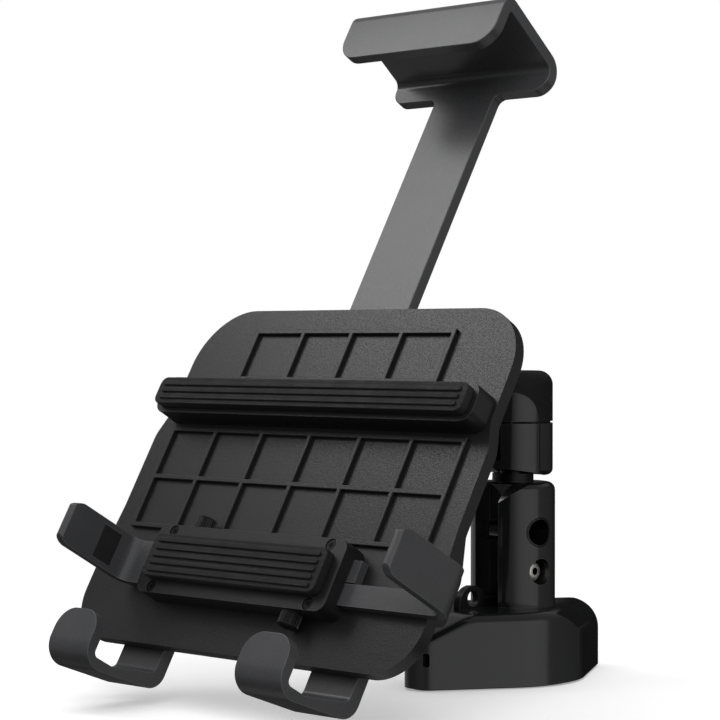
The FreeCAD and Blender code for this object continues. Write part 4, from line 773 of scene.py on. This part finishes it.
floorSetup = {"halfSize": 6.0, "colour": "#e8e8e8", "bounce": "#686868", "lift": 0.30, "fadeFrom": 0.22,
              "fadeTo": 0.60}
work = bmesh.new()
bmesh.ops.create_grid(work, x_segments=1, y_segments=1, size=floorSetup["halfSize"])
floor = pieceFromBmesh("studioFloor", work)
floorMaterial, tree, place = startMaterial("paleStudioFloor")
rays = addNode(tree, "ShaderNodeLightPath")
tone = addNode(tree, "ShaderNodeMix", {"data_type": "RGBA", "A": hexToLinear(floorSetup["bounce"]),
                                       "B": hexToLinear(floorSetup["colour"])},
               {"Factor": rays.outputs["Is Camera Ray"]})
plain = addNode(tree, "ShaderNodeBsdfDiffuse", links={"Color": tone.outputs["Result"]})
lift = addNode(tree, "ShaderNodeMath", {"operation": "MULTIPLY", 1: floorSetup["lift"]},
               {0: rays.outputs["Is Camera Ray"]})
glow = addNode(tree, "ShaderNodeEmission", {"Color": (1, 1, 1, 1)}, {"Strength": lift.outputs[0]})
near = addNode(tree, "ShaderNodeAddShader", links={0: plain.outputs[0], 1: glow.outputs[0]})
away = addNode(tree, "ShaderNodeVectorMath", {"operation": "LENGTH"}, {0: place})
fade = addNode(tree, "ShaderNodeMapRange",
               {"interpolation_type": "SMOOTHSTEP", "From Min": floorSetup["fadeFrom"],
                "From Max": floorSetup["fadeTo"]}, {"Value": away.outputs["Value"]})
seenFade = addNode(tree, "ShaderNodeMath", {"operation": "MULTIPLY"},
                   {0: fade.outputs["Result"], 1: rays.outputs["Is Camera Ray"]})
white = addNode(tree, "ShaderNodeEmission", {"Color": (1, 1, 1, 1), "Strength": 1.0})
both = addNode(tree, "ShaderNodeMixShader", links={"Fac": seenFade.outputs[0], 1: near.outputs[0],
                                                   2: white.outputs[0]})
endMaterial(floorMaterial, tree, both)
floor.data.materials.append(floorMaterial)
floor.visible_glossy = False

# the studio round the stand: brightness of its walls by compass angle, in degrees from +X toward +Y. The
# white background stands to the right of the camera, a grey card left of it, and black cards behind, which
# draw the dark sides of the post and base. Layers are (height it begins, height it is full, brightness) by
# the sine of the angle over the horizon
studioSetup = {"walls": {-180: 0.30, -160: 0.24, -150: 0.16, -131: 0.18, -100: 0.30, -76: 0.36, -62: 0.28,
                         -51: 0.30, -42: 0.50, -36: 0.74, -20: 0.96, -6: 1.0, 6: 1.0, 22: 0.86, 26: 0.34,
                         47: 0.24, 65: 0.15, 89: 0.05, 106: 0.01, 128: 0.01, 158: 0.30, 180: 0.30},
               "layers": [(0.30, 0.62, 0.34), (-0.18, -0.42, 0.02), (-0.60, -0.78, 0.42)], "fill": 0.62}
world = bpy.data.worlds.new("studio")
bpy.context.scene.world = world
world.use_nodes = True
tree = world.node_tree
tree.nodes.clear()
rays = addNode(tree, "ShaderNodeLightPath")
aim = addNode(tree, "ShaderNodeTexCoord")
parts = addNode(tree, "ShaderNodeSeparateXYZ", links={0: aim.outputs["Generated"]})
compass = addNode(tree, "ShaderNodeMath", {"operation": "ARCTAN2"},
                  {0: parts.outputs["Y"], 1: parts.outputs["X"]})
share = addNode(tree, "ShaderNodeMapRange", {"From Min": -math.pi, "From Max": math.pi},
                {"Value": compass.outputs[0]})
walls = addNode(tree, "ShaderNodeValToRGB", links={"Fac": share.outputs["Result"]})
stops = sorted(studioSetup["walls"].items())
ramp = walls.color_ramp.elements
ramp[0].position, ramp[1].position = 0.0, 1.0
for angle, level in stops[1:-1]:
    ramp.new((angle + 180) / 360).color = (level, level, level, 1)
ramp[0].color = (stops[0][1],) * 3 + (1,)
ramp[len(ramp) - 1].color = (stops[-1][1],) * 3 + (1,)
room = walls.outputs["Color"]
for begins, whole, level in studioSetup["layers"]:
    # the ceiling over the walls, the stand's own shade low down, and the pale floor straight below
    blend = addNode(tree, "ShaderNodeMapRange", {"interpolation_type": "SMOOTHSTEP", "From Min": begins,
                                                 "From Max": whole}, {"Value": parts.outputs["Z"]})
    room = addNode(tree, "ShaderNodeMix", {"data_type": "FLOAT", "B": level},
                   {"Factor": blend.outputs["Result"], "A": room}).outputs["Result"]
shine = addNode(tree, "ShaderNodeMath", {"operation": "MAXIMUM"},
                {0: rays.outputs["Is Glossy Ray"], 1: rays.outputs["Is Transmission Ray"]})
seen = addNode(tree, "ShaderNodeMix", {"data_type": "FLOAT", "A": studioSetup["fill"]},
               {"Factor": shine.outputs[0], "B": room})
level = addNode(tree, "ShaderNodeMix", {"data_type": "FLOAT", "B": 1.0},
                {"Factor": rays.outputs["Is Camera Ray"], "A": seen.outputs["Result"]})
sky = addNode(tree, "ShaderNodeBackground", {"Color": (1, 1, 1, 1)}, {"Strength": level.outputs["Result"]})
addNode(tree, "ShaderNodeOutputWorld", links={"Surface": sky.outputs[0]})

# soft boxes: place, aim, width, height and brightness (1 is as bright as the white background)
softBoxes = {
    "keyBox": {"place": (0.9, -1.0, 0.95), "aim": (0, -0.05, 0.10), "wide": 0.9, "high": 0.9,
               "level": 4.4, "inGloss": False},
    "topBox": {"place": (-0.1, -0.1, 1.3), "aim": (0, -0.05, 0.10), "wide": 1.0, "high": 1.0,
               "level": 0.9, "inGloss": False},
    "clipBox": {"place": (-0.40, -0.31, 0.63), "aim": (0, -0.08, 0.24), "wide": 0.30, "high": 0.30,
                "level": 3.4, "inGloss": True},
}
for name, look in softBoxes.items():
    lamp = bpy.data.lights.new(name, "AREA")
    lamp.shape = "RECTANGLE"
    lamp.size, lamp.size_y = look["wide"], look["high"]
    lamp.energy = look["level"] * math.pi * look["wide"] * look["high"]
    carrier = bpy.data.objects.new(name, lamp)
    bpy.context.scene.collection.objects.link(carrier)
    carrier.location = look["place"]
    carrier.rotation_euler = (Vector(look["aim"]) - Vector(look["place"])).to_track_quat("-Z", "Y").to_euler()
    carrier.visible_glossy = look["inGloss"]
print("camera, floor and lights set")

bpy.context.scene.view_settings.view_transform = "Standard"
